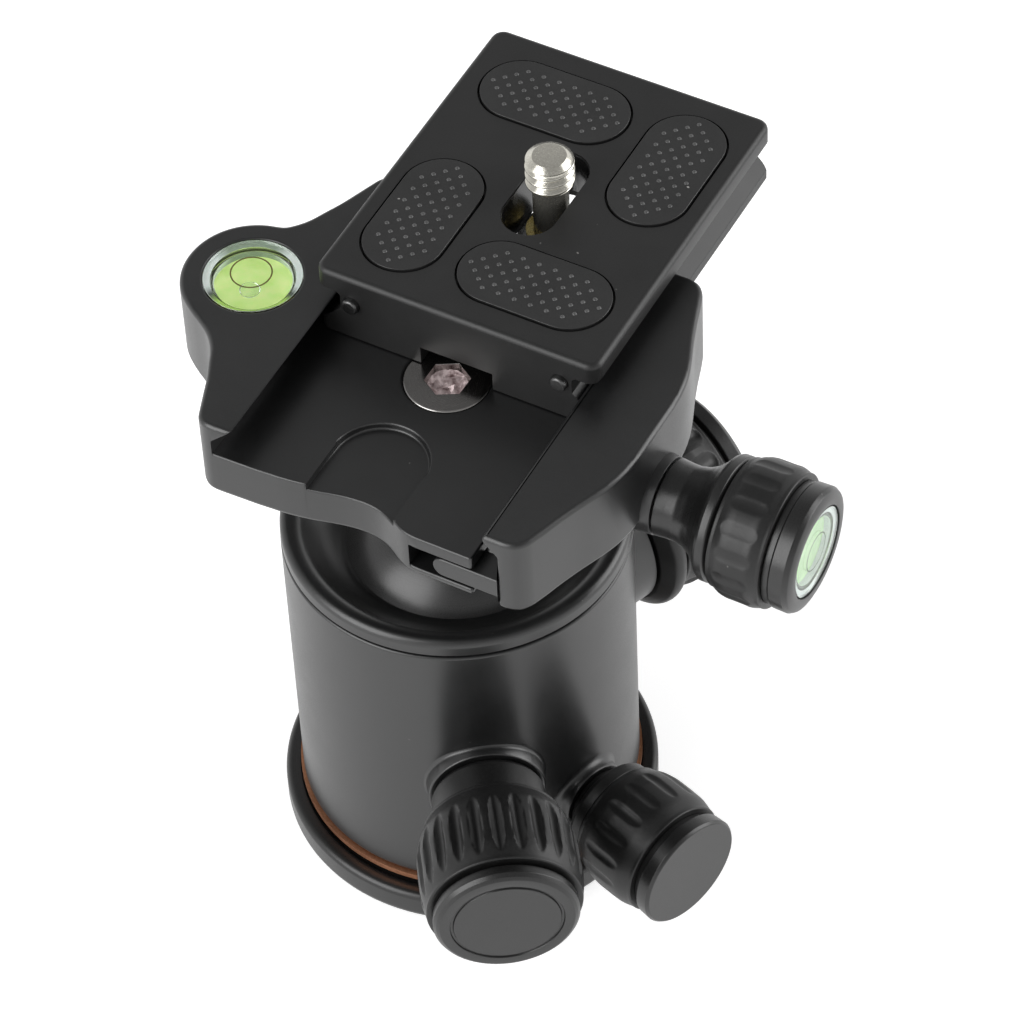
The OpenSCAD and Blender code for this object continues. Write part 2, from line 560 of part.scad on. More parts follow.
module clamp_cap() color([0.11, 0.11, 0.11]) along_x(0) difference() {
    turned([[0, cap_in - 1.7], [level_r + 0.05, cap_in - 1.7], [level_r + 0.05, clamp_knob_end - 3.7],
            [clamp_knob_r - 1.1, clamp_knob_end - 3.7], [clamp_knob_r - 1.1, clamp_knob_end - 2.9],
            [clamp_knob_r - 0.9, clamp_knob_end - 2.7], [clamp_knob_r - 0.85, clamp_knob_end - 0.9],
            [clamp_knob_r - 1.2, clamp_knob_end - 0.3], [clamp_knob_r - 2.0, clamp_knob_end],
            [0, clamp_knob_end]]);
    translate([0, 0, cap_in]) cylinder(r = level_r - 0.25 + skin, h = 10);
}

module knob_vial() color([0.85, 0.92, 0.90, 0.5]) along_x(cap_in + 0.05) difference() {
    cylinder(r = level_r - 0.25, h = clamp_knob_end - cap_in - 0.2);
    translate([0, 0, 1.2]) cylinder(r = level_r - 0.25 - level_wall, h = clamp_knob_end - cap_in - 2.9);
}

module knob_fluid() color([0.80, 0.92, 0.70]) along_x(cap_in + 1.3)
    cylinder(r = level_r - 0.3 - level_wall, h = clamp_knob_end - cap_in - 3.0);

// ------------------------------------------------------------ camera plate
// rounded rectangle of the plate's outline, as one prism
module plate_block(r) {
    translate([plate_x0 + r, plate_y - plate_l / 2, plate_z - 5]) cube([plate_w - 2 * r, plate_l, 30]);
    translate([plate_x0, plate_y - plate_l / 2 + r, plate_z - 5]) cube([plate_w, plate_l - 2 * r, 30]);
    for (i = [0, 1]) for (j = [0, 1])
        translate([plate_x0 + r + i * (plate_w - 2 * r), plate_y - plate_l / 2 + r + j * (plate_l - 2 * r),
                   plate_z - 5]) cylinder(r = r, h = 30, $fn = 48);
}

// oblong prism lying along X or, turned, along Y
module oblong(cx, cy, turn, l, w, z0, h) translate([cx, cy, z0]) rotate([0, 0, turn]) {
    translate([-l / 2 + w / 2, -w / 2, 0]) cube([l - w, w, h]);
    for (s = [-1, 1]) translate([s * (l - w) / 2, 0, 0]) cylinder(r = w / 2, h = h, $fn = 48);
}

// the four pads lie like the blades of a pinwheel: place and heading
pad_long = plate_w / 2 - 7.8;
pad_at = [[pad_long - 5.4, 9.1 - plate_l / 2, 0], [5.3 - pad_long, plate_l / 2 - 9.1, 0],
          [-pad_long, 13.65 - plate_l / 2, 90], [pad_long, plate_l / 2 - 13.65, 90]];
plate_half = [[-plate_base_w / 2 + 0.3, plate_z], [-plate_base_w / 2, plate_z + 0.3],
              [-plate_base_w / 2, rail_top], [-neck_half, neck_low], [-neck_half, flange_z - 0.5],
              [-neck_half - 0.5, flange_z], [-plate_w / 2 + 0.3, flange_z], [-plate_w / 2, flange_z + 0.4],
              [-plate_w / 2, plate_top - 0.8], [-plate_w / 2 + 0.8, plate_top]];

module plate() color([0.13, 0.13, 0.14]) difference() {
    intersection() {
        translate([plate_x, plate_y + plate_l, 0]) rotate([90, 0, 0]) linear_extrude(2 * plate_l)
            polygon(concat(plate_half, [for (i = [len(plate_half) - 1 : -1 : 0])
                                        [-plate_half[i][0], plate_half[i][1]]]));
        plate_block(1.7);
    }
    // groove along the underside, slot for the screw, pad pockets, pin holes
    translate([plate_x - groove_half, plate_y - plate_l, plate_z - 1])
        cube([2 * groove_half, 2 * plate_l, groove_top - plate_z + 1]);
    oblong(plate_x, plate_y, 90, slot_len, 2 * slot_half, plate_z - 5, 30);
    for (p = pad_at)
        oblong(plate_x + p[0], plate_y + p[1], p[2], pad_l + 0.6, pad_w + 0.6, plate_top - 1.2, 5);
    for (i = [-1, 1]) for (j = [-1, 1]) translate([plate_x + i * pin_x, plate_y + j * plate_l / 2, pin_z])
        rotate([90, 0, 0]) translate([0, 0, -4]) cylinder(r = pin_r + 0.05, h = 8, $fn = 24);
}

module plate_pads() color([0.07, 0.07, 0.07]) for (p = pad_at)
    oblong(plate_x + p[0], plate_y + p[1], p[2], pad_l, pad_w, plate_top - 1.16, 1.16 + pad_proud);

module stop_pins() color([0.6, 0.6, 0.62]) for (i = [-1, 1]) for (j = [-1, 1])
    translate([plate_x + i * pin_x, plate_y + j * (plate_l / 2 - 1.3), pin_z])
        rotate([90, 0, 0]) cylinder(r = pin_r, h = 4.2, center = true, $fn = 24);

module slide_washer() color([0.7, 0.7, 0.72]) translate([screw_x, screw_y, groove_top - 0.85]) difference() {
    cylinder(r = head_r, h = 0.7, $fn = 48);
    translate([0, 0, -1]) cylinder(r = shank_r + run, h = 3, $fn = 48);
}

module camera_screw() color([0.82, 0.81, 0.78]) translate([screw_x, screw_y, 0]) difference() {
    union() {
        translate([0, 0, plate_z + 0.15]) cylinder(r = head_r, h = head_top - plate_z - 0.15, $fn = 48);
        translate([0, 0, plate_z + 0.5]) cylinder(r = shank_r, h = plate_top + 1.2 - plate_z, $fn = 48);
        translate([0, 0, plate_top + 1.1]) turned([[0, 0], [shank_r, 0], [camera_screw_r, 0.5],
            [camera_screw_r, camera_screw_h - 1.7], [camera_screw_r - 0.6, camera_screw_h - 1.1],
            [0, camera_screw_h - 1.1]]);
    }
    translate([-0.7, -head_r - 1, plate_z - 1]) cube([1.4, 2 * head_r + 2, 1.9]);
}

module screw_clip() color([0.55, 0.55, 0.58]) translate([screw_x, screw_y, groove_top + 0.35]) difference() {
    cylinder(r = slot_half - 0.3, h = 0.5, $fn = 48);
    translate([0, 0, -1]) cylinder(r = shank_r + skin, h = 3, $fn = 48);
    translate([-1.5, 0, -1]) cube([3, 6, 3]);
}

base_plate();
thread_insert();
friction_washer();
keeper_plate();
keeper_screws();
housing();
top_ring();
ball_cup();
cup_springs();
main_pad();
pan_pad();
main_stud();
main_grip();
main_cap();
drag_stud();
drag_grip();
drag_cap();
pan_stud();
pan_grip();
pan_cap();
ball();
stem();
clamp_body();
fixing_screw();
level_vial();
level_fluid();
jaw();
jaw_springs();
clamp_screw();
clamp_hub();
clamp_grip();
clamp_cap();
knob_vial();
knob_fluid();
plate();
plate_pads();
stop_pins();
slide_washer();
camera_screw();
screw_clip();
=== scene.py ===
# %% [markdown]
# # A tripod ball head, dressed around its frame
# The frame brings every solid of the head at its real size. This notebook gives each one
# its finished surface: rounded edges, fluted grips, threads, studded pads and two round
# levels. Each new piece is a surface worked out on a grid, so that its shape is a formula
# that can be read, and it rides on the frame's own bodies, so that all the joints still work.

# %% Load the frame
import math

import bmesh
import bpy
import numpy as np
from mathutils import Matrix, Vector


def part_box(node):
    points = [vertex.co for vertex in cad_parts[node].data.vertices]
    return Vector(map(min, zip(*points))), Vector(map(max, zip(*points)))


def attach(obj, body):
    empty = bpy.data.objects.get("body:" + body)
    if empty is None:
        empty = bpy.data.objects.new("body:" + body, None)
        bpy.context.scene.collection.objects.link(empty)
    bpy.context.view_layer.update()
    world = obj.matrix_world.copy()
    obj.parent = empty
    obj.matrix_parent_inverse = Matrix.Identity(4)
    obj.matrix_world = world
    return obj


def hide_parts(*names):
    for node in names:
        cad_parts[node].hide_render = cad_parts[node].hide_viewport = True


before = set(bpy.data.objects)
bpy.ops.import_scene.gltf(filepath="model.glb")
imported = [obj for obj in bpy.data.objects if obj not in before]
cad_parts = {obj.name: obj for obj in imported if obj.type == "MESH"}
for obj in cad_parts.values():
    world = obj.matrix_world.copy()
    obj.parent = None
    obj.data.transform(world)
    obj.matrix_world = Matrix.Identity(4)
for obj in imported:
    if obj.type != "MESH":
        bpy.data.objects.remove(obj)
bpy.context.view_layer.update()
MM = 0.001

# %% [markdown]
# ## Reading sizes
# Most sizes are taken from the frame's own boxes, so a piece always fits its neighbours.
# All lengths below are millimetres, and they become metres when a mesh is written.

# %% Sizes from the frame
def span(node):
    """Lowest and highest corner of a frame node, in millimetres."""
    low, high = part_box(node)
    return np.array(low) / MM, np.array(high) / MM


foot_r, foot_h, land_r = span("base_plate")[1][0], 4.7, 20.6
post_r, post_top = 8.5, span("base_plate")[1][2]
insert_r, insert_h, tripod_r = span("thread_insert")[1][0], span("thread_insert")[1][2], 4.76
housing_r, housing_low, seam_z = 22.35, span("housing")[0][2], span("housing")[1][2]
cavity_r, ring_thread_r, deck_z, notch_r, notch_z = 18.9, 19.9, 18.1, 8.7, 37.8
notch_heading = 155.0
ring_top = span("top_ring")[1][2]
ball_r = (span("ball")[1][1] - span("ball")[0][1]) / 2
ball_z = span("ball")[0][2] + ball_r
stem_base, stem_top = span("stem")[0][2], span("stem")[1][2]
wall_top, floor_z, clamp_low = span("clamp_body")[1][2], 78.1, 71.1
clamp_half = span("clamp_body")[1][1]
plate_low, plate_high = span("plate")
plate_x, plate_y = ((plate_low + plate_high) / 2)[:2]

# %% [markdown]
# ## The camera
# A long lens looks down at the head from its front right. The camera stands where a point
# near the stem, a heading, an elevation and a distance put it, and it is rolled by three
# degrees, as a hand-held camera is.

# %% Camera
aim = np.array([5.32, 3.15, 54.21])
heading, elevation, roll = math.radians(30.66), math.radians(48.69), math.radians(-3.14)
distance, frame_px, focal_px = 628.9, 1010, 5000.0

camera_turn = (Matrix.Rotation(heading, 4, "Z") @ Matrix.Rotation(math.pi / 2 - elevation, 4, "X")
               @ Matrix.Rotation(roll, 4, "Z"))
camera_back = np.array(camera_turn.col[2][:3])
camera_data = bpy.data.cameras.new("camera")
camera_data.sensor_width = 36.0
camera_data.sensor_fit = "HORIZONTAL"
camera_data.lens = camera_data.sensor_width * focal_px / frame_px
camera_data.clip_start, camera_data.clip_end = 0.05, 20.0
camera = bpy.data.objects.new("camera", camera_data)
bpy.context.scene.collection.objects.link(camera)
camera.matrix_world = Matrix.Translation((aim + camera_back * distance) * MM) @ camera_turn
bpy.context.scene.camera = camera
print("camera at", [round(value, 4) for value in camera.matrix_world.translation])

# %% [markdown]
# ## Surfaces from profiles
# Nearly everything here was turned on a lathe, so the first helper rounds the corners of a
# profile and the second carries it round an axis. A grid of points needs no faces drawn by
# hand: each square of the grid is one. The grid's first column is repeated at its end and
# merged afterwards, so that the seam is closed while the UV map still runs from 0 to 1.

# %% Rounded profiles and turned surfaces
def rounded(corners, closed=False, steps=6, least=0.012):
    """Profile whose corners (x, y, radius) are arcs. An arc of radius R at a corner with half
    angle f begins R / tan(f) from the corner, and its centre lies R / sin(f) along the bisector.
    Points closer than least to the one before are left out."""
    spots = [np.array(corner[:2], float) for corner in corners]
    line = []
    for k, corner in enumerate(corners):
        radius = corner[2] if len(corner) > 2 else 0.0
        back, ahead = spots[k - 1] - spots[k], spots[(k + 1) % len(spots)] - spots[k]
        long_back, long_ahead = np.linalg.norm(back), np.linalg.norm(ahead)
        back, ahead = back / long_back, ahead / long_ahead
        half = math.acos(np.clip(back @ ahead, -1, 1)) / 2
        end = not closed and k in (0, len(spots) - 1)
        if radius == 0 or end or half > 1.55:
            line.append(spots[k])
            continue
        reach = min(radius / math.tan(half), 0.49 * min(long_back, long_ahead))
        bisector = (back + ahead) / np.linalg.norm(back + ahead)
        centre = spots[k] + bisector * reach * math.tan(half) / math.sin(half)
        first, last = spots[k] + back * reach - centre, spots[k] + ahead * reach - centre
        sweep, t = math.pi - 2 * half, np.linspace(0, 1, steps + 1)[:, None]
        line.extend(centre + (np.sin((1 - t) * sweep) * first + np.sin(t * sweep) * last) / math.sin(sweep))
    line = np.array(line)
    apart = np.linalg.norm(line - np.roll(line, 1, 0), axis=1) > least
    apart[0] |= not closed
    return line[apart]


def turned(profile, turns=144, radius=None, closed=False):
    """Surface of revolution: at angle a the profile point (r, h) lies at (r cos a, r sin a, h).
    radius(r, h, a) may change r. The UV map holds a / 2 pi and the length along the profile."""
    profile = np.asarray(profile, float)
    if closed:
        profile = np.vstack([profile, profile[:1]])
    angle = np.repeat(np.linspace(0, 2 * np.pi, turns + 1)[None], len(profile), 0)
    r, h = (np.repeat(profile[:, k:k + 1], turns + 1, 1) for k in (0, 1))
    if radius is not None:
        r = radius(r, h, angle)
    along = np.concatenate([[0], np.cumsum(np.hypot(*np.diff(profile, axis=0).T))])
    grid = np.stack([r * np.cos(angle), r * np.sin(angle), h], -1)
    return grid, np.stack([angle / (2 * np.pi), np.repeat(along[:, None], turns + 1, 1)], -1)


print("helpers ready: rounded, turned")

# %% [markdown]
# ## Placing a surface
# Knobs are drawn standing on their axis and then laid outwards. Instead of turning the
# object, the turn is applied to the points, so that every object stays at the origin and
# patterns on object coordinates never slide.

# %% Places of the side knobs and the clamp screw
def lying(heading_deg, height, start=0.0):
    """4 x 4 place that lays local +Z outwards at a heading, with local +X pointing down."""
    c, s = math.cos(math.radians(heading_deg)), math.sin(math.radians(heading_deg))
    place = np.eye(4)
    place[:3, :3] = np.array([[0, -s, c], [0, c, s], [-1, 0, 0]])
    place[:3, 3] = [c * start, s * start, height]
    return place


def moved(patch, place):
    """The patch with every point p carried to turn * p + shift."""
    grid, uv = patch
    return grid @ place[:3, :3].T + place[:3, 3], uv


def raised(x=0.0, y=0.0, z=0.0):
    """4 x 4 place that only shifts."""
    place = np.eye(4)
    place[:3, 3] = [x, y, z]
    return place


friction_place = lying(-54.6, 26.2)
pan_place = lying(-18.0, 16.6)
main_place = lying(69.0, 32.5)
screw_place = lying(0.0, 71.7)
print("knob headings -54.6, -18, 69 and 0 degrees")

# %% [markdown]
# ## From grid to mesh
# `piece` writes grids into one mesh, merges the doubled seam and poles, and turns all faces
# outwards. `slab` makes the flat parts: an outline is moved inwards along its own corners
# while it climbs a quarter circle, which rounds both edges, and two flat caps close it.
# `lathed` is the short way to one turned piece.

# %% Meshes
def finished(name, bm, sharp=38.0):
    """Object from a bmesh: doubles merged, faces outwards, smooth except over sharp edges."""
    bmesh.ops.remove_doubles(bm, verts=bm.verts, dist=3e-7)
    bmesh.ops.dissolve_degenerate(bm, edges=bm.edges, dist=1e-8)
    bmesh.ops.recalc_face_normals(bm, faces=bm.faces)
    mesh = bpy.data.meshes.new(name)
    bm.to_mesh(mesh)
    bm.free()
    mesh.shade_smooth()
    mesh.set_sharp_from_angle(angle=math.radians(sharp))
    thing = bpy.data.objects.new(name, mesh)
    bpy.context.scene.collection.objects.link(thing)
    return thing


def piece(name, *patches, sharp=38.0):
    """One object from several grids. Corner k of a square is the grid's point and its right,
    upper right and upper neighbours."""
    points, faces, uvs, start = [], [], [], 0
    for grid, uv in patches:
        rows, columns = grid.shape[:2]
        k = start + np.arange(rows * columns).reshape(rows, columns)
        faces.append(np.stack([k[:-1, :-1], k[:-1, 1:], k[1:, 1:], k[1:, :-1]], -1).reshape(-1, 4))
        points.append(grid.reshape(-1, 3))
        uvs.append(uv.reshape(-1, 2))
        start += rows * columns
    faces, uvs = np.concatenate(faces), np.concatenate(uvs)
    rough = bpy.data.meshes.new("rough")
    rough.from_pydata((np.concatenate(points) * MM).tolist(), [], faces.tolist())
    rough.uv_layers.new(name="turn").data.foreach_set("uv", uvs[faces.ravel()].astype(np.float32).ravel())
    bm = bmesh.new()
    bm.from_mesh(rough)
    bpy.data.meshes.remove(rough)
    return finished(name, bm, sharp)


def slab(name, outline, low, high, low_round=0.0, high_round=0.0, place=None, steps=4):
    """Flat part over an outline. Its rings are the outline moved inwards by R (1 - sin t) at a
    height of R (1 - cos t) from the face, with t from 0 to 90 degrees and R the edge radius."""
    outline = np.asarray(outline, float)
    after = np.roll(outline, -1, 0)
    if np.sum(outline[:, 0] * after[:, 1] - after[:, 0] * outline[:, 1]) < 0:
        outline = outline[::-1]
        after = np.roll(outline, -1, 0)
    side = after - outline
    side /= np.linalg.norm(side, axis=1)[:, None]
    facing = np.stack([side[:, 1], -side[:, 0]], -1)
    before = np.roll(facing, 1, 0)
    corner = (facing + before) / np.maximum(1 + np.sum(facing * before, 1), 0.35)[:, None]
    t = np.linspace(0, np.pi / 2, steps + 1)
    low_ring = np.stack([low_round * (1 - np.sin(t)), low + low_round * (1 - np.cos(t))], -1)
    high_ring = np.stack([high_round * (1 - np.sin(t)), high - high_round * (1 - np.cos(t))], -1)[::-1]
    low_ring = low_ring if low_round else low_ring[:1]
    high_ring = high_ring if high_round else high_ring[:1]
    rings = np.vstack([low_ring, high_ring])
    flat = outline[None] - corner[None] * rings[:, 0][:, None, None]
    grid = np.concatenate([flat, np.repeat(rings[:, 1][:, None, None], len(outline), 1)], -1)
    if place is not None:
        grid = grid @ place[:3, :3].T + place[:3, 3]
    count = len(outline)
    k = np.arange(len(rings) * count).reshape(len(rings), count)
    right = np.roll(k, -1, 1)
    faces = np.stack([k[:-1], right[:-1], right[1:], k[1:]], -1).reshape(-1, 4).tolist()
    faces += [k[0][::-1].tolist(), k[-1].tolist()]
    rough = bpy.data.meshes.new("rough")
    rough.from_pydata((grid.reshape(-1, 3) * MM).tolist(), [], faces)
    rough.uv_layers.new(name="turn")
    bm = bmesh.new()
    bm.from_mesh(rough)
    bpy.data.meshes.remove(rough)
    return finished(name, bm)


def joined(name, *things):
    """One object that holds the shells of several."""
    bm = bmesh.new()
    bm.loops.layers.uv.new("turn")
    for thing in things:
        bm.from_mesh(thing.data)
        bpy.data.objects.remove(thing)
    return finished(name, bm)


def lathed(name, profile, place, turns=144, closed=False, sharp=38.0, radius=None):
    """One turned piece, carried to its place."""
    return piece(name, moved(turned(profile, turns, radius, closed), place), sharp=sharp)


print("helpers ready: piece, slab, joined, lathed")

# %% [markdown]
# ## Cutting and softening
# Pockets, slots and channels are milled in the real part, so here they are cut with solid
# cutters. A milled edge is never quite sharp, and it is that thin rounded edge which
# catches the light, so the cut piece gets a narrow bevel along each sharp edge with room.

# %% Booleans and bevels, applied for good
def settled(thing):
    """Writes the live modifiers into the mesh."""
    bpy.context.view_layer.update()
    shown = thing.evaluated_get(bpy.context.evaluated_depsgraph_get())
    mesh = bpy.data.meshes.new_from_object(shown)
    thing.modifiers.clear()
    thing.data = mesh
    return thing


def carved(thing, *cutters, operation="DIFFERENCE"):
    """Cuts each closed cutter out of the piece, then removes the cutter."""
    for cutter in cutters:
        cut = thing.modifiers.new("cut", "BOOLEAN")
        cut.solver, cut.operation, cut.object = "EXACT", operation, cutter
    settled(thing)
    for cutter in cutters:
        bpy.data.objects.remove(cutter)
    return thing


def softened(thing, width, angle=38.0, segments=3, limited=True):
    """Rounds the edges sharper than angle, apart from those that end in a crowded corner."""
    bm = bmesh.new()
    bm.from_mesh(thing.data)
    bmesh.ops.remove_doubles(bm, verts=bm.verts, dist=2e-6)
    bmesh.ops.dissolve_limit(bm, angle_limit=math.radians(0.4), verts=bm.verts, edges=bm.edges)
    weight = bm.edges.layers.float.new("bevel_weight_edge")
    sharp = {edge for edge in bm.edges
             if len(edge.link_faces) == 2 and edge.calc_face_angle() > math.radians(angle)}

    def calm(vertex):
        """True where a smooth run of two sharp edges passes, or where every edge has room."""
        ends = [edge for edge in vertex.link_edges if edge in sharp]
        others = [edge for edge in vertex.link_edges if edge not in sharp]
        if any(edge.calc_length() < 1.2 * width * MM for edge in others):
            return False
        ways = [(edge.other_vert(vertex).co - vertex.co).normalized() for edge in ends]
        if len(ends) == 2 and ways[0].dot(ways[1]) < -0.9:
            return True
        return all(edge.calc_length() > 2.5 * width * MM for edge in ends)

    open_ends = {vertex for edge in sharp for vertex in edge.verts if calm(vertex)}
    for edge in sharp:
        edge[weight] = float(all(vertex in open_ends for vertex in edge.verts))
    print(f"{thing.name}: {len(sharp)} sharp edges, {sum(edge[weight] > 0 for edge in sharp)} rounded")
    bm.to_mesh(thing.data)
    bm.free()
    edge = thing.modifiers.new("edge", "BEVEL")
    edge.width, edge.segments, edge.limit_method = width * MM, segments, "WEIGHT"
    edge.use_clamp_overlap = limited
    settled(thing)
    thing.data.shade_smooth()
    thing.data.set_sharp_from_angle(angle=math.radians(angle))
    return thing


def stadium(length, width, steps=24):
    """Outline of an oblong along X: two half circles of the width, length apart overall."""
    a = np.linspace(-np.pi / 2, np.pi / 2, steps + 1)
    end = np.stack([(length - width) / 2 + width / 2 * np.cos(a), width / 2 * np.sin(a)], -1)
    return np.vstack([end, -end])


def circle(radius, steps=96):
    """Outline of a circle."""
    a = np.arange(steps) * 2 * np.pi / steps
    return radius * np.stack([np.cos(a), np.sin(a)], -1)


print("helpers ready: carved, softened, stadium, circle")

# %% [markdown]
# ## Finishes
# Black metal is never one flat black: fine blasting gives it a grain of a fifth of a
# millimetre, handling leaves cloudy smooth patches, and lint settles on it. These effects
# are shared node groups, so each material only states its own colours, grain and gloss.

# %% Node helpers
def fill(tree, node, inputs):
    """Links a node's inputs to sockets, or sets them where a plain value is given."""
    for key, value in inputs.items():
        if isinstance(value, bpy.types.NodeSocket):
            tree.links.new(value, node.inputs[key])
        else:
            node.inputs[key].default_value = value


def add(tree, kind, settings=None, inputs=None):
    """Adds a shader node, sets its properties, and fills its inputs."""
    node = tree.nodes.new("ShaderNode" + kind)
    for key, value in (settings or {}).items():
        setattr(node, key, value)
    fill(tree, node, inputs or {})
    return node


def maths(tree, operation, first, second=0.0):
    """Output of a Math node."""
    return add(tree, "Math", {"operation": operation}, {0: first, 1: second}).outputs[0]


def ramp(tree, value, low, high, to_low=0.0, to_high=1.0):
    """Output of a clamped Map Range node."""
    ends = {"Value": value, "From Min": low, "From Max": high, "To Min": to_low, "To Max": to_high}
    return add(tree, "MapRange", {"clamp": True}, ends).outputs[0]


def blended(tree, factor, first, second):
    """Colour output of a Mix node."""
    return add(tree, "Mix", {"data_type": "RGBA"}, {0: factor, 6: first, 7: second}).outputs[2]


def turn_map(tree):
    """X, Y and Z outputs of the turned surfaces' UV map: share of a turn, and length along."""
    return add(tree, "SeparateXYZ", None, {0: add(tree, "UVMap", {"uv_map": "turn"}).outputs[0]}).outputs


KINDS = {"color": "NodeSocketColor", "value": "NodeSocketFloat", "vector": "NodeSocketVector"}


def node_group(name, inputs, outputs):
    """A shader node group with named sockets: inputs maps a name to (kind, value)."""
    tree = bpy.data.node_groups.new(name, "ShaderNodeTree")
    for label, (kind, value) in inputs.items():
        socket = tree.interface.new_socket(label, in_out="INPUT", socket_type=KINDS[kind])
        if value is not None:
            socket.default_value = value
    for label, kind in outputs.items():
        tree.interface.new_socket(label, in_out="OUTPUT", socket_type=KINDS[kind])
    return tree, tree.nodes.new("NodeGroupInput").outputs, tree.nodes.new("NodeGroupOutput")


def give(tree, end, **sockets):
    """Links sockets to the group's named outputs."""
    for label, socket in sockets.items():
        tree.links.new(socket, end.inputs[label])


def placed(tree, group, inputs=None):
    """Outputs of a group node with its own values."""
    return add(tree, "Group", {"node_tree": group}, inputs).outputs


def blank(name):
    """A new material, its tree and its shader."""
    material = bpy.data.materials.new(name)
    material.use_nodes = True
    return material, material.node_tree, material.node_tree.nodes["Principled BSDF"]


def grey(level, warm=0.0):
    """Linear colour near black, slightly warm or cool."""
    return (level * (1 + warm), level, level * (1 - warm), 1.0)


print("node helpers ready")


# %% Group: blasted grain
grain_group, given, end = node_group(
    "blasted_grain",
    {"Dark": ("color", grey(0.02)), "Light": ("color", grey(0.03)), "Size": ("value", 0.2),
     "Roughness": ("value", 0.4), "Spread": ("value", 0.05), "Depth": ("value", 0.004)},
    {"Color": "color", "Roughness": "value", "Normal": "vector"})
place = add(grain_group, "TexCoord").outputs["Object"]
per_metre = maths(grain_group, "DIVIDE", 1000.0, given["Size"])
fine = add(grain_group, "TexNoise", None, {"Vector": place, "Scale": per_metre, "Detail": 3.0}).outputs[0]
cloud = add(grain_group, "TexNoise", None, {"Vector": place, "Scale": 150.0, "Detail": 3.0}).outputs[0]
mixed = maths(grain_group, "ADD", maths(grain_group, "MULTIPLY", fine, 0.65),
              maths(grain_group, "MULTIPLY", cloud, 0.35))
wear = ramp(grain_group, mixed, 0.36, 0.64)
worn = maths(grain_group, "MULTIPLY", maths(grain_group, "SUBTRACT", wear, 0.5), given["Spread"])
depth = maths(grain_group, "MULTIPLY", given["Depth"], MM)
bump = add(grain_group, "Bump", None, {"Strength": 1.0, "Distance": depth, "Height": fine})
give(grain_group, end, Color=blended(grain_group, wear, given["Dark"], given["Light"]),
     Roughness=maths(grain_group, "ADD", given["Roughness"], worn), Normal=bump.outputs[0])

# %% Group: lint
lint_group, given, end = node_group("lint", {"Amount": ("value", 0.3)}, {"Mask": "value"})
place = add(lint_group, "TexCoord").outputs["Object"]
wavy = add(lint_group, "TexNoise", None, {"Vector": place, "Scale": 900.0, "Detail": 1.0}).outputs[1]
bent = add(lint_group, "VectorMath", {"operation": "MULTIPLY_ADD"},
           {0: wavy, 1: (0.0006, 0.0006, 0.0006), 2: place}).outputs[0]
cells = add(lint_group, "TexVoronoi", None, {"Vector": bent, "Scale": 420.0})
near = ramp(lint_group, cells.outputs["Distance"], 0.035, 0.075, 1.0, 0.0)
picked = add(lint_group, "SeparateColor", None, {0: cells.outputs["Color"]}).outputs[0]
few = ramp(lint_group, picked, 0.955, 0.965)
give(lint_group, end, Mask=maths(lint_group, "MULTIPLY", maths(lint_group, "MULTIPLY", near, few),
                                 given["Amount"]))

# %% Group: turning marks
# The marks run round the axis because they are read from the length along the profile.
marks_group, given, end = node_group(
    "turning_marks", {"Pitch": ("value", 0.12), "Depth": ("value", 0.002), "Normal": ("vector", None)},
    {"Mask": "value", "Normal": "vector"})
turns_along = maths(marks_group, "DIVIDE", turn_map(marks_group)[1], given["Pitch"])
line = add(marks_group, "TexNoise", {"noise_dimensions": "1D"}, {"W": turns_along, "Detail": 2.0}).outputs[0]
depth = maths(marks_group, "MULTIPLY", given["Depth"], MM)
bump = add(marks_group, "Bump", None, {"Strength": 1.0, "Distance": depth, "Height": line,
                                       "Normal": given["Normal"]})
give(marks_group, end, Mask=line, Normal=bump.outputs[0])
print("groups:", [tree.name for tree in bpy.data.node_groups])

# %% [markdown]
# ## Opaque materials
# One function makes every opaque finish: the grain sets colour, gloss and a fine relief,
# lint is mixed over it, and turned metal adds its rings. What stays the same all over a
# surface, such as how metallic it is, is set on the shader itself.

# %% Opaque finishes
def finish(name, dark, light, size, roughness, spread, depth, metallic=0.0, ior=1.5, lint=0.0,
           marks=None, glow=0.0):
    """Material from the shared groups. marks is (pitch, depth) of the turning lines in mm."""
    material, tree, shader = blank(name)
    grain = placed(tree, grain_group, {"Dark": dark, "Light": light, "Size": size,
                                       "Roughness": roughness, "Spread": spread, "Depth": depth})
    color, normal, gloss = grain["Color"], grain["Normal"], grain["Roughness"]
    if marks:
        lines = placed(tree, marks_group, {"Pitch": marks[0], "Depth": marks[1], "Normal": normal})
        normal = lines["Normal"]
        gloss = maths(tree, "ADD", gloss, ramp(tree, lines["Mask"], 0.3, 0.7, -0.04, 0.04))
    if lint:
        specks = placed(tree, lint_group, {"Amount": lint})["Mask"]
        color = blended(tree, specks, color, (0.45, 0.44, 0.42, 1.0))
    # Where glow is above zero the colour gives off light of its own: a painted glow.
    fill(tree, shader, {"Base Color": color, "Roughness": gloss, "Normal": normal, "Emission Color": color,
                        "Emission Strength": glow, "Metallic": metallic, "IOR": ior})
    return material


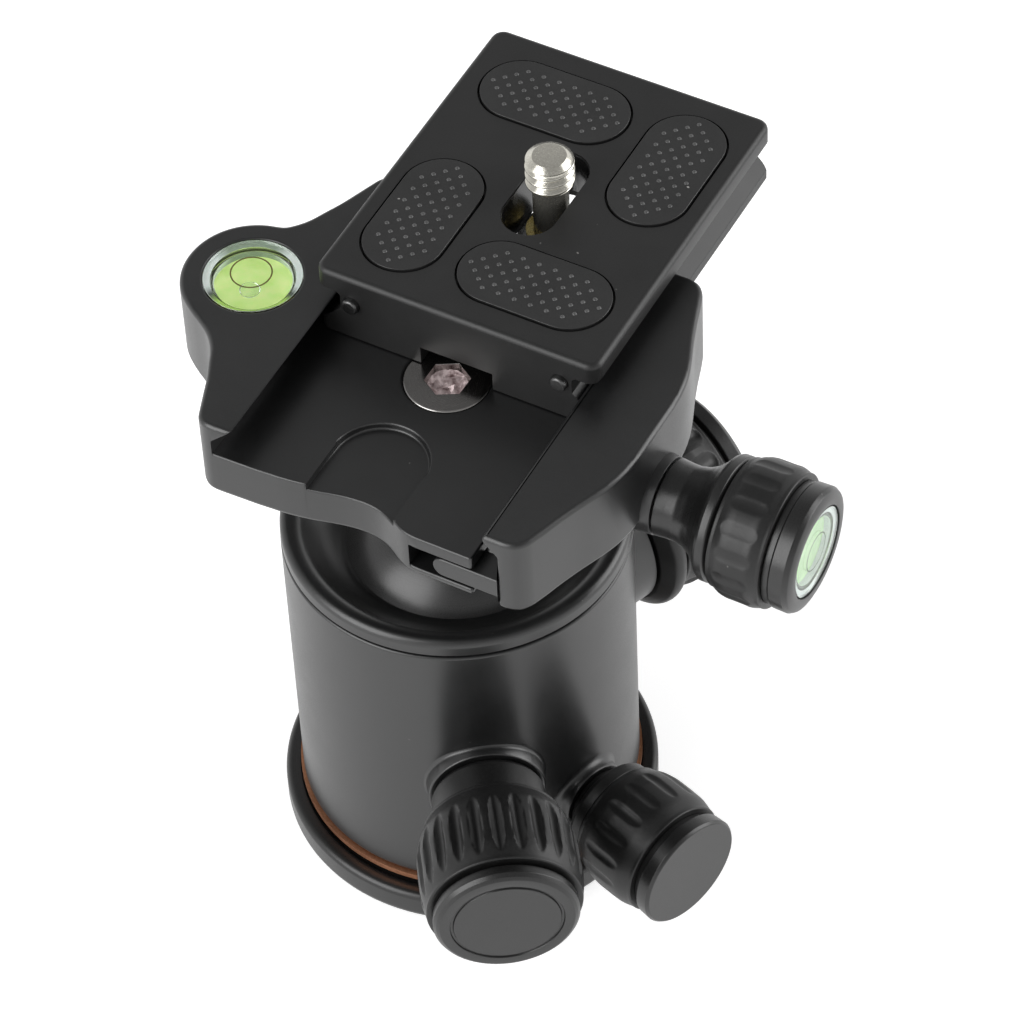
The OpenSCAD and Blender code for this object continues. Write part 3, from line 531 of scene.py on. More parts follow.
black_metal = finish("satin_black", grey(0.006, -0.02), grey(0.011, -0.02), 0.16, 0.33, 0.08, 0.0035,
                     ior=1.68, lint=0.25)
plate_black = finish("plate_black", grey(0.011), grey(0.017), 0.20, 0.42, 0.08, 0.006, ior=1.5, lint=0.45)
dark_trim = finish("turned_black", grey(0.006), grey(0.010), 0.15, 0.32, 0.06, 0.002, ior=1.6,
                   lint=0.2, marks=(0.14, 0.0015))
knob_rubber = finish("moulded_grip", grey(0.006), grey(0.010), 0.25, 0.40, 0.10, 0.008, ior=1.5, lint=0.3)
pad_rubber = finish("studded_rubber", grey(0.012), grey(0.020), 0.14, 0.36, 0.10, 0.006, ior=1.6, lint=0.8)
# The studs are a lighter grey than the pads all over, standing in for their highlights: a painted highlight.
stud_rubber_painted_highlight = finish("studs_painted_highlight", grey(0.050), grey(0.090), 0.14, 0.34, 0.10, 0.006, ior=1.6)
ball_metal = finish("dark_ball", grey(0.020), grey(0.028), 0.12, 0.30, 0.05, 0.0015, ior=1.65,
                    lint=0.1, marks=(0.10, 0.0008))
copper = finish("bright_copper", (0.50, 0.22, 0.12, 1), (0.62, 0.30, 0.17, 1), 0.3, 0.34, 0.10, 0.002,
                metallic=0.85)
steel = finish("plated_steel", grey(0.50), grey(0.62), 0.15, 0.28, 0.10, 0.003, metallic=1.0)
# The pins' steel is darkened to stand in for the shade of the recess they sit in: painted shade.
pin_steel_painted_shade = finish("steel_painted_shade", grey(0.10), grey(0.16), 0.15, 0.38, 0.10, 0.003, metallic=1.0)
zinc = finish("nickel_steel", (0.58, 0.56, 0.50, 1), (0.72, 0.70, 0.62, 1), 0.2, 0.20, 0.08, 0.001,
              metallic=0.9, marks=(0.16, 0.002))
disc_steel = finish("turned_disc", grey(0.38, 0.03), grey(0.46, 0.03), 0.12, 0.24, 0.06, 0.0006, metallic=1.0,
                    marks=(0.10, 0.0006))
# The socket lining gives off a painted glow, which lights its deep recess.
socket_steel_painted_glow = finish("socket_steel_painted_glow", (0.10, 0.06, 0.06, 1), (0.72, 0.60, 0.60, 1), 0.9, 0.26, 0.16,
                      0.16, metallic=0.30, glow=0.28)
yellow_steel = finish("yellow_plated", (0.70, 0.52, 0.14, 1), (0.92, 0.78, 0.36, 1), 0.4, 0.26, 0.1,
                      0.004, metallic=0.8)
insert_steel = finish("turned_stainless", grey(0.55), grey(0.68), 0.12, 0.30, 0.08, 0.002, metallic=1.0,
                      marks=(0.2, 0.002))
milled_black = finish("milled_black", grey(0.008), grey(0.014), 0.3, 0.22, 0.04, 0.001, ior=1.5)
cup_plastic = finish("cup_plastic", (0.70, 0.70, 0.66, 1), (0.82, 0.82, 0.78, 1), 0.4, 0.38, 0.08, 0.004)
pad_brass = finish("turned_brass", (0.62, 0.44, 0.16, 1), (0.80, 0.60, 0.26, 1), 0.2, 0.28, 0.08, 0.002,
                   metallic=1.0)
print(len(bpy.data.materials), "materials")

# %% [markdown]
# ## Clear materials
# A round level is a clear moulded vial with green fluid. The vial is true glass to
# the light. The fluid is made brighter by a painted glow: it gives off a little light
# of its own, evenly over its face, in the colours of its cloudy patches.

# %% Vial and fluid
def clear(name, tint, roughness):
    """Clear moulded plastic whose gloss varies slightly over the surface."""
    material, tree, shader = blank(name)
    grain = placed(tree, grain_group, {"Dark": tint, "Light": (0.98, 1.0, 0.99, 1), "Size": 1.5,
                                       "Roughness": roughness, "Spread": 0.02, "Depth": 0.0004})
    fill(tree, shader, {"Base Color": grain["Color"], "Roughness": grain["Roughness"],
                        "Transmission Weight": 1.0, "IOR": 1.45})
    return material


def fluid(name, deep, bright, glow):
    """Green fluid: the deep and the bright colour mixed in cloudy patches, with a painted glow in the same
    colours.
    """
    material, tree, shader = blank(name)
    grain = placed(tree, grain_group, {"Dark": deep, "Light": bright, "Size": 2.5,
                                       "Roughness": 0.12, "Spread": 0.04, "Depth": 0.0})
    fill(tree, shader, {"Base Color": grain["Color"], "Roughness": grain["Roughness"],
                        "Emission Color": grain["Color"], "Emission Strength": glow})
    return material


vial_clear = clear("clear_vial", (0.90, 0.96, 0.94, 1), 0.02)
# Both fluids give off light of their own: a painted glow.
fluid_green = fluid("green_fluid_painted_glow", (0.50, 0.69, 0.19, 1), (0.68, 0.84, 0.32, 1), 0.60)
fluid_mint_painted_glow = fluid("mint_fluid_painted_glow", (0.44, 0.76, 0.30, 1), (0.60, 0.90, 0.44, 1), 0.30)
printed_ring = finish("printed_ring", (0.17, 0.13, 0.01, 1), (0.24, 0.18, 0.02, 1), 0.3, 0.4, 0.05, 0.0)
printed_dark = finish("printed_dark_ring", (0.02, 0.09, 0.02, 1), (0.04, 0.13, 0.03, 1), 0.3, 0.4, 0.05, 0.0)
# The knob level's pale seat gives off light of its own: a painted glow.
vial_white_painted_glow = fluid("vial_seat_painted_light", (0.62, 0.67, 0.64, 1), (0.74, 0.79, 0.76, 1), 0.30)


def seat(name, stops, glow):
    """Pale seat with painted light: its colours run round the axis as a painted reflection of the room through
    the clear wall, with painted shade between, and it has a painted glow.
    """
    material, tree, shader = blank(name)
    node = add(tree, "ValToRGB", None, {0: turn_map(tree)[0]})
    while len(node.color_ramp.elements) < len(stops):
        node.color_ramp.elements.new(0.5)
    for element, (place, color) in zip(node.color_ramp.elements, stops):
        element.position, element.color = place, color
    fill(tree, shader, {"Base Color": node.outputs[0], "Emission Color": node.outputs[0],
                        "Emission Strength": glow, "Roughness": 0.25})
    return material


# The seat's colours round the axis are painted light: pearl is a painted reflection of the white room, sage
# and shadow are painted shade between its crescents, and green is a painted view of the fluid through the near
# wall; the seat also has a painted glow.
green, sage = (0.46, 0.72, 0.12, 1), (0.30, 0.37, 0.28, 1)
painted_reflection_pearl, shadow = (0.86, 0.90, 0.88, 1), (0.08, 0.10, 0.08, 1)
vial_seat_painted_light = seat("vial_ring_painted_light", [(0.0, shadow), (0.035, painted_reflection_pearl), (0.19, painted_reflection_pearl), (0.25, sage), (0.42, sage),
                               (0.48, painted_reflection_pearl), (0.61, painted_reflection_pearl), (0.65, shadow), (0.70, green), (0.96, green),
                               (0.99, shadow)], 0.35)
print(len(bpy.data.materials), "materials")


# %% Fitting a piece to the frame
def fitted(thing, body, slot, material, *nodes):
    """Gives a piece its material and body, and lets it stand for frame nodes. The slot argument is not used.
    """
    thing.data.materials.clear()
    thing.data.materials.append(material)
    shade = thing.modifiers.new("shade", "WEIGHTED_NORMAL")
    shade.keep_sharp = True
    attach(thing, body)
    for node in nodes:
        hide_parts(node)
    print(f"{thing.name}: {len(thing.data.polygons)} faces on {body}")
    return thing


def dressed(node, material):
    """Gives a frame node that stays visible, or hides inside, its finish."""
    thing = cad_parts[node]
    thing.data.materials.clear()
    thing.data.materials.append(material)


# %% [markdown]
# ## The foot
# The foot is one turning: a low ring with a rounded rim, a raised land for the friction
# washer, and the post that the head pans on. Underneath, a steel insert carries the
# tripod's thread, a real helix: the bore swells and shrinks once for each pitch it climbs.

# %% Foot and thread insert
groove_low = ball_z - 23.3
foot_line = rounded([
    (0, insert_h + 0.4), (insert_r + 0.04, insert_h + 0.4), (insert_r + 0.04, 0, 0.3), (foot_r, 0, 1.5),
    (foot_r, foot_h, 0.9), (foot_r - 2.1, foot_h, 0.3), (foot_r - 2.3, foot_h - 0.5), (land_r, foot_h - 0.5),
    (land_r, foot_h + 0.85, 0.2), (post_r, foot_h + 0.85), (post_r, groove_low),
    (post_r - 0.35, groove_low + 0.35), (post_r - 0.35, groove_low + 2.65), (post_r, groove_low + 3),
    (post_r, post_top, 0.3), (0, post_top)])
fitted(piece("foot_shell", turned(foot_line, 192)), "base", "black_metal", dark_trim, "base_plate")


def threaded(pitch, depth, low, high):
    """Radius of a screw thread: r - depth * w, where w falls from 1 to 0 and climbs back over
    each turn of h / pitch - a / 2 pi, and fades out at both ends."""
    def radius(r, h, a):
        phase = np.mod(h / pitch - a / (2 * np.pi), 1.0)
        wave = np.clip(np.abs(phase - 0.5) * 2.6 - 0.15, 0, 1)
        fade = np.clip(np.minimum(h - low, high - h) / (0.6 * pitch), 0, 1)
        return r - depth * wave * fade
    return radius


inch = 25.4
tripod_pitch = inch / 16
bore = np.stack([np.full(90, tripod_r), np.linspace(0.05, insert_h - 0.05, 90)], -1)
insert_line = np.vstack([[(tripod_r + 0.5, 0), (insert_r, 0), (insert_r, insert_h),
                          (tripod_r + 0.4, insert_h)], bore[::-1]])


def bore_thread(r, h, a):
    """The thread is cut only where the profile lies at the bore's radius."""
    cut = threaded(tripod_pitch, 0.75, 0, insert_h)(r, h, a)
    return np.where(np.abs(r - tripod_r) < 1e-6, cut, r)


fitted(piece("insert_shell", turned(insert_line, 96, bore_thread, closed=True)), "base", "insert_steel",
       insert_steel, "thread_insert")
dressed("friction_washer", copper)
for node in ("keeper_plate", "keeper_screws", "cup_springs"):
    dressed(node, steel)
dressed("ball_cup", cup_plastic)
dressed("main_pad", cup_plastic)
dressed("pan_pad", pad_brass)

# %% [markdown]
# ## The housing
# The housing is a thick tube with a floor, open at the top and notched on one side so that
# the stem can drop into portrait. Three bosses carry the side knobs. Where a boss meets the
# round wall a cast part has a fillet, and it is worked out exactly: the wall stands
# sqrt(R^2 - (r sin a)^2) out from the axis at a boss radius r and angle a, and the fillet
# climbs a quarter circle from there.

# %% Wall with its notch
def notch():
    """Cutter of the drop notch: an upright slot with a round lower end."""
    a = np.linspace(np.pi, 2 * np.pi, 33)
    round_end = np.stack([notch_r * np.cos(a), notch_z + notch_r * np.sin(a)], -1)
    outline = np.vstack([round_end, [(notch_r, ring_top + 5), (-notch_r, ring_top + 5)]])
    c, s = math.cos(math.radians(notch_heading)), math.sin(math.radians(notch_heading))
    place = np.eye(4)
    place[:3, :3] = np.array([[-s, 0, c], [c, 0, s], [0, 1, 0]])
    return slab("notch", outline, 12, housing_r + 6, place=place)


wall_line = rounded([
    (post_r + 0.06, housing_low), (housing_r, housing_low, 0.7), (housing_r, seam_z, 0.35),
    (ring_thread_r, seam_z), (ring_thread_r, seam_z - 4.2), (cavity_r, seam_z - 4.2), (cavity_r, deck_z),
    (post_r + 0.06, deck_z)], closed=True)
wall = softened(carved(piece("wall", turned(wall_line, 192, closed=True)), notch()), 0.35)


# %% Bosses with their fillets
def boss(place, radius, fillet, corners):
    """Boss on the round wall: rows inside the wall, the fillet, then the turned profile."""
    angle = np.linspace(0, 2 * np.pi, 145)
    t = np.linspace(0, np.pi / 2, 9)[:, None]
    wall_at = lambda r: np.sqrt(housing_r ** 2 - (r * np.sin(angle)) ** 2)
    rim = np.full_like(angle, radius + fillet)
    skirt = radius + fillet * (1 - np.sin(t)) + 0 * angle
    rows_r = np.vstack([0 * rim, rim, skirt])
    rows_h = np.vstack([0 * rim + housing_r - 2, wall_at(rim) - 1.5,
                        wall_at(skirt) - 0.02 + fillet * (1 - np.cos(t))])
    line = rounded(corners)
    rows_r = np.vstack([rows_r, np.repeat(line[:, :1], len(angle), 1)])
    rows_h = np.vstack([rows_h, np.repeat(line[:, 1:], len(angle), 1)])
    grid = np.stack([rows_r * np.cos(angle), rows_r * np.sin(angle), rows_h], -1)
    return moved((grid, np.stack([0 * rows_r + angle / (2 * np.pi), rows_h], -1)), place)


friction_seat, pan_seat, main_seat = housing_r + 1.35, housing_r + 1.45, housing_r + 1.45
bosses = piece(
    "bosses",
    boss(friction_place, 7.5, 0.5,
         [(7.5, friction_seat - 0.2), (7.4, friction_seat, 0.2), (0, friction_seat)]),
    boss(pan_place, 4.9, 1.1, [(4.9, pan_seat - 0.3), (4.8, pan_seat, 0.2), (0, pan_seat)]),
    boss(main_place, 11.0, 0.7, [(11.0, main_seat - 0.2), (10.9, main_seat, 0.3), (0, main_seat)]))
fitted(joined("housing_shell", wall, bosses), "housing", "black_metal", black_metal, "housing")

# %% Top ring
# A corner whose radius is free is rounded as far as its neighbours allow.
free = 99.0
ring_low = seam_z - 4.16
ring_line = rounded([
    (13.5, ring_low), (ring_thread_r - 0.04, ring_low), (ring_thread_r - 0.04, seam_z + 0.04),
    (housing_r - 0.55, seam_z + 0.04), (housing_r - 0.50, seam_z + 0.40, 0.1),
    (housing_r - 0.05, seam_z + 0.46, 0.12), (housing_r - 0.05, ring_top, 1.6),
    (housing_r - 2.2, ring_top, free), (housing_r - 3.9, ring_top - 2.2, free),
    (16.6, ring_top - 3.9, free), (14.4, ring_top - 4.9, free), (13.5, ring_top - 4.9)], closed=True, steps=12)
ring = softened(carved(piece("top_ring_shell", turned(ring_line, 192, closed=True)), notch()), 0.10)
fitted(ring, "housing", "dark_trim", black_metal, "top_ring")

# %% [markdown]
# ## Ball and stem
# The ball is a sphere with a flat on top, and the stem a waisted turning that stands on
# it. Both keep the fine rings of the lathe.

# %% Ball and stem
top_angle = math.acos((stem_base - 0.04 - ball_z) / ball_r)
arc = np.linspace(np.pi, top_angle, 73)
ball_line = np.vstack([np.stack([ball_r * np.sin(arc), ball_z + ball_r * np.cos(arc)], -1),
                       [(0, stem_base - 0.04)]])
ball_line[0, 0] = 0
fitted(piece("ball_shell", turned(ball_line, 192)), "ball", "ball_metal", ball_metal, "ball")
stem_line = rounded([(0, stem_base), (7.5, stem_base, 0.4), (7.5, stem_base + 1.4, 0.8),
                     (6.7, stem_base + 3.4, 1.6), (6.7, stem_top - 3.4, 1.6), (7.85, stem_top - 1.4, 0.6),
                     (7.9, stem_top), (0, stem_top)])
fitted(piece("stem_shell", turned(stem_line)), "clamp", "dark_trim", dark_trim, "stem")

# %% [markdown]
# ## The clamp
# The clamp is milled from one block. Its outline goes in as a few points joined by arcs:
# the scalloped front edge, the left wall and the lobe that holds the level. The channel
# with its undercut lip, the thumb pocket and the guide slots are then cut from it.

# %% Clamp outline
left_face, lip_z, lobe_x, lobe_y, lobe_r = -19.6, 80.2, -27.5, 0.6, 9.1
floor_right, slot_left, slot_low, slot_high, slot_deep = 16.5, 7.8, 72.5, 76.1, 4.2
front_edge = [(-19.2, 0.75), (-14, 0.9), (-10, 1.15), (-7.5, 1.5), (-5.5, 1.95), (-3.5, 2.45), (-1.5, 2.8),
              (0.8, 2.9), (2.6, 2.6), (4.2, 1.9), (5.6, 1.0), (6.9, 0.3), (8.4, 0)]
left_edge = [(-24.1, 7.9), (-23.2, 5.5), (-22.2, 2.9), (-21.8, 1.9), (-21.1, 1.2), (-20.2, 0.8)]
neck_edge = [(-5.1, -6.95), (-3.8, -7.85), (-2.2, -8.8), (-0.7, -9.8), (0.6, -11.1), (1.6, -12.6),
             (2.3, -14.2)]
front_half = ([(lobe_x + x, y, free) for x, y in neck_edge]
              + [(x, y - clamp_half, free) for x, y in left_edge + front_edge]
              + [(floor_right, -clamp_half, 0.4)])
back_half = [(x, -y, r) for x, y, r in front_half[::-1][:-3]]
a = np.radians(np.linspace(103, 228, 26))
lobe = [(lobe_x + lobe_r * c, lobe_y + lobe_r * s, 0) for c, s in zip(np.cos(a), np.sin(a))]
clamp_outline = rounded(front_half + back_half + lobe, closed=True, steps=6, least=0.05)

# %% Cutters of the channel
def along_y(profile, low=-40.0, high=40.0):
    """Prism of an (x, z) profile from low to high along Y."""
    place = np.eye(4)
    place[:3, :3] = np.array([[1, 0, 0], [0, 0, -1], [0, 1, 0]])
    return slab("prism", profile, -high, -low, place=place)


def block(low, high):
    """Cutter between two corners."""
    (x0, y0, z0), (x1, y1, z1) = low, high
    return slab("block", [(x0, y0), (x1, y0), (x1, y1), (x0, y1)], z0, z1)


lip_reach = wall_top + 2 - lip_z
channel = along_y([(left_face, floor_z), (left_face, lip_z), (left_face + lip_reach, wall_top + 2),
                   (30, wall_top + 2), (30, floor_z)])
quarter = np.array([[0, 1], [-1, 0]])
pocket_x, pocket_y, pocket_r = -0.9, -15.4, 6.1
pocket = slab("pocket", stadium(30, 2 * pocket_r) @ quarter
              + [pocket_x, pocket_y + pocket_r - 15], floor_z - 1, floor_z + 2)
slots = [block((slot_left, -clamp_half - 1, slot_low), (30, -clamp_half + slot_deep, slot_high)),
         block((slot_left, clamp_half - slot_deep, slot_low), (30, clamp_half + 1, slot_high))]
level_hole = slab("hole", circle(6.29) + [lobe_x, lobe_y], wall_top - 7.4, wall_top + 2)
screw_hole = slab("hole", circle(5.54, 64), floor_z - 2.7, floor_z + 2)
spring_y, spring_rise = 14, 74.6 - 71.7
spring_holes = [lathed("rod", [(0, 8.5), (2.2, 8.5), (2.2, 20), (0, 20)],
                       raised(0, side * spring_y, spring_rise) @ screw_place, 32) for side in (-1, 1)]
print(len(clamp_outline), "points round the clamp")

# %% Clamp body
body = slab("clamp_shell", clamp_outline, clamp_low, wall_top, 1.0, 0.7)
carved(body, channel, pocket, *slots, level_hole, screw_hole, *spring_holes)
softened(body, 0.30, limited=False)
hub = piece("hub", turned(rounded([(0, stem_top + 0.04), (11.5, stem_top + 0.04, 0.8), (11.5, clamp_low + 1),
                                   (0, clamp_low + 1)])))
nut = lathed("nut", [(0, slot_left), (5.3, slot_left), (5.3, floor_right), (0, floor_right)], screw_place, 64)
fitted(joined("clamp_shell", body, hub, nut), "clamp", "black_metal", black_metal, "clamp_body")

# %% [markdown]
# ## The jaw
# The jaw is the clamp's other wall. Two tongues guide it in the body's slots, and a round
# boss carries the clamp screw.

# %% Jaw
jaw_face, lip = 20.0, 2.0
jaw_tip, nose_r, nose_end = jaw_face - lip, 5.3, jaw_face + 10.1
jaw_edge = [(1.2, 0), (2.5, 0.35), (3.5, 1.5), (4.3, 3.7), (5.2, 6.5), (6.2, 9.3), (7.3, 11.9), (8.2, 14.4),
            (8.7, 16.7), (8.9, 19.1)]
jaw_front = [(jaw_tip, -clamp_half, 0.5)] + [(jaw_face + x, y - clamp_half, free) for x, y in jaw_edge]
jaw_back = [(x, -y, r) for x, y, r in jaw_front[::-1]]
jaw_outline = rounded(jaw_front + jaw_back, closed=True, steps=5, least=0.05)
jaw = slab("jaw_shell", jaw_outline, clamp_low - 0.1, wall_top, 0.9, 0.7)
carved(jaw, along_y([(jaw_face, clamp_low - 9), (jaw_face, lip_z), (jaw_tip, lip_z + lip),
                     (jaw_tip, wall_top + 2), (0, wall_top + 2), (0, clamp_low - 9)]))
upright = np.array([[1, 0, 0, 0], [0, 0, 1, 0], [0, 1, 0, 0], [0, 0, 0, 1.0]])
tongue_root, tongue_tip = jaw_face + 0.7, slot_left + 3.2
tongue_t = slot_high - slot_low - 0.6
tongue_l = tongue_root - tongue_tip
tongue_line = stadium(2 * tongue_l, tongue_t) + [tongue_tip + tongue_l, (slot_low + slot_high) / 2]
tongues = [slab("tongue", tongue_line, low, low + slot_deep - 0.35, place=upright)
           for low in (-clamp_half + 0.05, clamp_half - slot_deep + 0.3)]
for tongue in tongues:
    carved(tongue, block((tongue_root, -40, 60), (70, 40, 90)))
carved(jaw, *tongues, operation="UNION")
softened(jaw, 0.30, limited=False)
nose_line = rounded([(0, jaw_face + 0.5), (nose_r + 0.8, jaw_face + 0.5), (nose_r + 0.3, jaw_face + 5.0, 20),
                     (nose_r - 0.2, nose_end - 0.6, 6), (nose_r - 0.25, nose_end, 0.05), (0, nose_end)])
nose = lathed("nose", nose_line, screw_place)
fitted(joined("jaw_shell", jaw, nose), "jaw", "black_metal", black_metal, "jaw")
dressed("jaw_springs", steel)
dressed("clamp_screw", steel)

# %% [markdown]
# ## The clamp's fixing screw
# A countersunk screw holds the clamp to the stem. Its face is turned bright and its
# hexagon socket is rough inside, as a pressed socket is: its floor is a ring grid whose
# three inner rings are moved up or down by random heights.

# %% Fixing screw
head_r, shank_r, socket_r, socket_turn, socket_z = 5.5, 3.0, 2.88, 0.506, floor_z - 2.4
screw_line = rounded([(0, ball_z + 3.8), (shank_r, ball_z + 3.8, 0.3), (shank_r, floor_z - 3.0),
                      (head_r, floor_z - 0.5), (head_r, floor_z, 0.28), (0, floor_z)])
screw = piece("fixing_screw_head", turned(screw_line, 96))
c, s = math.cos(socket_turn), math.sin(socket_turn)
hexagon = circle(socket_r, 6) @ np.array([[c, s], [-s, c]])
softened(carved(screw, slab("hex", hexagon, socket_z, floor_z + 1)), 0.08, segments=2)
fitted(screw, "clamp", "zinc", disc_steel, "fixing_screw")
crumpled, crumpled_uv = turned([(0, floor_z - 2.38), (2.45, floor_z - 2.38), (2.6, floor_z - 1.0),
                                (2.2, floor_z - 1.3), (1.5, floor_z - 1.6), (0.8, floor_z - 1.4),
                                (0, floor_z - 1.5)], 12)
dents = np.random.default_rng(7).uniform(-0.42, 0.42, (3, crumpled.shape[1]))
dents[:, -1] = dents[:, 0]
crumpled[3:6, :, 2] += dents
# The lining's material has a painted glow that brightens the recess.
fitted(piece("hex_lining", (crumpled, crumpled_uv), sharp=5), "clamp", "zinc", socket_steel_painted_glow)

# %% [markdown]
# ## The round level in the clamp
# A level is a clear vial with a shallow chamber, a green floor seen through the fluid, a
# printed circle under the lid and a bubble. The chamber is a real hollow in the clear
# shell, so light bends through its lid and walls as it does in the real vial. The rim's glow
# is painted on a thin pale sleeve outside the clear wall, and the green floor has a painted glow.

# %% Level parts
def vial(place, radius, low, high, chamber_r, chamber_low, chamber_high):
    """Closed clear shell, wide at its lid, with a closed hollow inside, both turned profiles."""
    outer = rounded([(0, low), (chamber_r + 0.3, low, 0.2), (chamber_r + 0.3, high - 0.9),
                     (radius, high - 0.9, 0.05), (radius, high, 0.3), (0, high)], steps=8)
    inner = rounded([(0, chamber_low), (chamber_r, chamber_low, 0.25), (chamber_r, chamber_high, 0.25),
                     (0, chamber_high)])
    shell, hollow = moved(turned(outer, 128), place), moved(turned(inner, 128), place)
    return piece("clear", shell), piece("hollow", hollow)


def opened(name, shell, hollow):
    """The shell with the hollow's faces turned inwards, so that the clear wall is between them."""
    bm = bmesh.new()
    bm.loops.layers.uv.new("turn")
    bm.from_mesh(hollow.data)
    bmesh.ops.reverse_faces(bm, faces=bm.faces)
    bm.from_mesh(shell.data)
    mesh = bpy.data.meshes.new(name)
    bm.to_mesh(mesh)
    bm.free()
    mesh.shade_smooth()
    mesh.set_sharp_from_angle(angle=math.radians(38))
    for thing in (shell, hollow):
        bpy.data.objects.remove(thing)
    thing = bpy.data.objects.new(name, mesh)
    bpy.context.scene.collection.objects.link(thing)
    return thing


def tube(name, place, inner, outer, low, high, turns=96):
    """Ring with a rectangular section."""
    return lathed(name, [(inner, low), (outer, low), (outer, high), (inner, high)], place, turns, closed=True)


def level(name, place, body, radius, low, high, chamber_r, floor_at, lid, ring_r, ring_w, bubble_at,
          fluid_painted_glow, ring_paint, seat_painted_light, nodes, ring_shift=(0, 0)):
    """A whole round level: pale seat with painted light, clear vial, floor with a painted glow, printed circle
    and bubble.
    """
    fitted(tube(name + "_seat", place, chamber_r + 0.33, radius, low + 0.1, high - 0.93), body,
           "vial_clear", seat_painted_light)
    clear_part, hollow = vial(place, radius, low, high, chamber_r, floor_at, lid)
    fitted(opened(name + "_vial", clear_part, hollow), body, "vial_clear", vial_clear, nodes[0])
    floor_line = rounded([(0, floor_at + 0.01), (chamber_r - 0.02, floor_at + 0.01),
                          (chamber_r - 0.02, floor_at + 0.35), (chamber_r - 0.3, floor_at + 0.2, 0.2),
                          (0, floor_at + 0.2)])
    fitted(lathed(name + "_fluid", floor_line, place, 128), body, "fluid_green", fluid_painted_glow, nodes[1])
    fitted(tube(name + "_circle", place @ raised(*ring_shift), ring_r - ring_w / 2, ring_r + ring_w / 2,
                high - 0.30, high - 0.26), body, "black_metal", ring_paint)
    if bubble_at is None:
        return
    dome = rounded([(0, 0), (1.35, 0, 0.05), (1.2, -0.3, 0.2), (0, -0.42)])
    fitted(lathed(name + "_bubble", dome + [0, lid - 0.06], place @ raised(*bubble_at), 64),
           body, "vial_clear", vial_clear)


level("clamp_level", raised(lobe_x, lobe_y), "clamp", 6.25, wall_top - 7.3, wall_top, 5.05, wall_top - 2.9,
      wall_top - 1.5, 2.58, 0.2, (0.4, -1.5), fluid_green, printed_ring, vial_seat_painted_light,
      ("level_vial", "level_fluid"), (-0.5, 0.5))

# %% [markdown]
# ## Fluted grips
# A grip is a barrel with a row of shallow dishes pressed into it. A dish is where the
# number q = |x / half width| ^ n + |y / half length| ^ n is under 1, with x round the knob
# and y along it: the surface sinks by depth times 1 - q, which leaves a crisp lens-shaped
# edge. The columns of the grid are counted so that each dish gets the same ones.

# %% Barrel and flutes
def barrel(low, high, first, middle, last, rows=64):
    """Smooth barrel line through five radii: linear steps averaged over a short window."""
    mid = (low + high) / 2
    at = [low, low + (mid - low) * 0.35, mid - 1.2, mid + 1.2, high - (high - mid) * 0.35, high]
    size = [first, (first + middle) / 2 + 0.2, middle, middle, (last + middle) / 2 + 0.2, last]
    h = np.linspace(low, high, rows)
    r = np.interp(h, at, size)
    window = np.hanning(13) / np.hanning(13).sum()
    padded = np.concatenate([2 * r[0] - r[6:0:-1], r, 2 * r[-1] - r[-2:-8:-1]])
    return np.stack([np.convolve(padded, window, "valid"), h], -1)


def fluted(count, low, high, half_width, depth, power=2.0, phase=0.0):
    """Radius of a fluted grip: r - depth * (1 - q) where q < 1, near each of count headings."""
    def radius(r, h, a):
        pitch = 2 * np.pi / count
        x = r * (np.mod(a - phase + pitch / 2, pitch) - pitch / 2) / half_width
        y = (h - (low + high) / 2) / ((high - low) / 2)
        dish = np.clip(1 - np.abs(x) ** 2 - np.abs(y) ** power, 0, 1)
        return r - depth * np.where(r > half_width * 1.5, dish, 0)
    return radius


def grip(name, place, low, high, sizes, flutes, half_width, depth, reach, bore, collar=(), power=2.0,
         phase=0.0, per_flute=16):
    """Closed grip: an optional collar, the barrel with rounded ends, and the bore."""
    line = barrel(low + 0.5, high - 0.5, *sizes)
    first, last = line[0], line[-1]
    ends_low = rounded([(first[0] - 0.7, low), (first[0], low, 0.45), tuple(first)])[:-1]
    ends_high = rounded([tuple(last), (last[0], high, 0.45), (last[0] - 0.7, high)])[1:]
    profile = np.vstack([[(bore, low)] if not len(collar) else np.asarray(collar, float), ends_low, line,
                         ends_high, [(bore, high)]])
    shape = fluted(flutes, low + reach[0], high - reach[1], half_width, depth, power, phase)
    return lathed(name, profile, place, flutes * per_flute, closed=True, sharp=30, radius=shape)


print("grip helpers ready: barrel, fluted, grip")

# %% Friction knob
friction_collar = rounded([(3.06, 24.0), (6.9, 24.0, 0.2), (7.2, 24.6, 0.3), (7.3, 28.7, 0.3), (7.9, 29.25)])
fitted(grip("friction_grip_shell", friction_place, 29.2, 42.0, (8.9, 10.3, 9.9), 24, 0.90, 0.62, (2.4, 1.2),
            3.06, friction_collar, power=2.6), "drag_knob", "knob_rubber", knob_rubber, "drag_grip")
friction_cap = rounded([(0, 42.06), (8.2, 42.06), (8.3, 42.3, 0.1), (9.2, 42.5, 0.2), (9.25, 43.7, 0.2),
                        (8.9, 44.2, 0.2), (8.5, 44.5, 0.2), (7.25, 44.5, 0.06), (7.15, 44.25, 0.05),
                        (6.85, 44.25, 0.05), (6.75, 44.5, 0.06), (0, 44.5)], steps=4)
fitted(lathed("friction_cap_shell", friction_cap, friction_place, 160), "drag_knob", "dark_trim", dark_trim,
       "drag_cap")

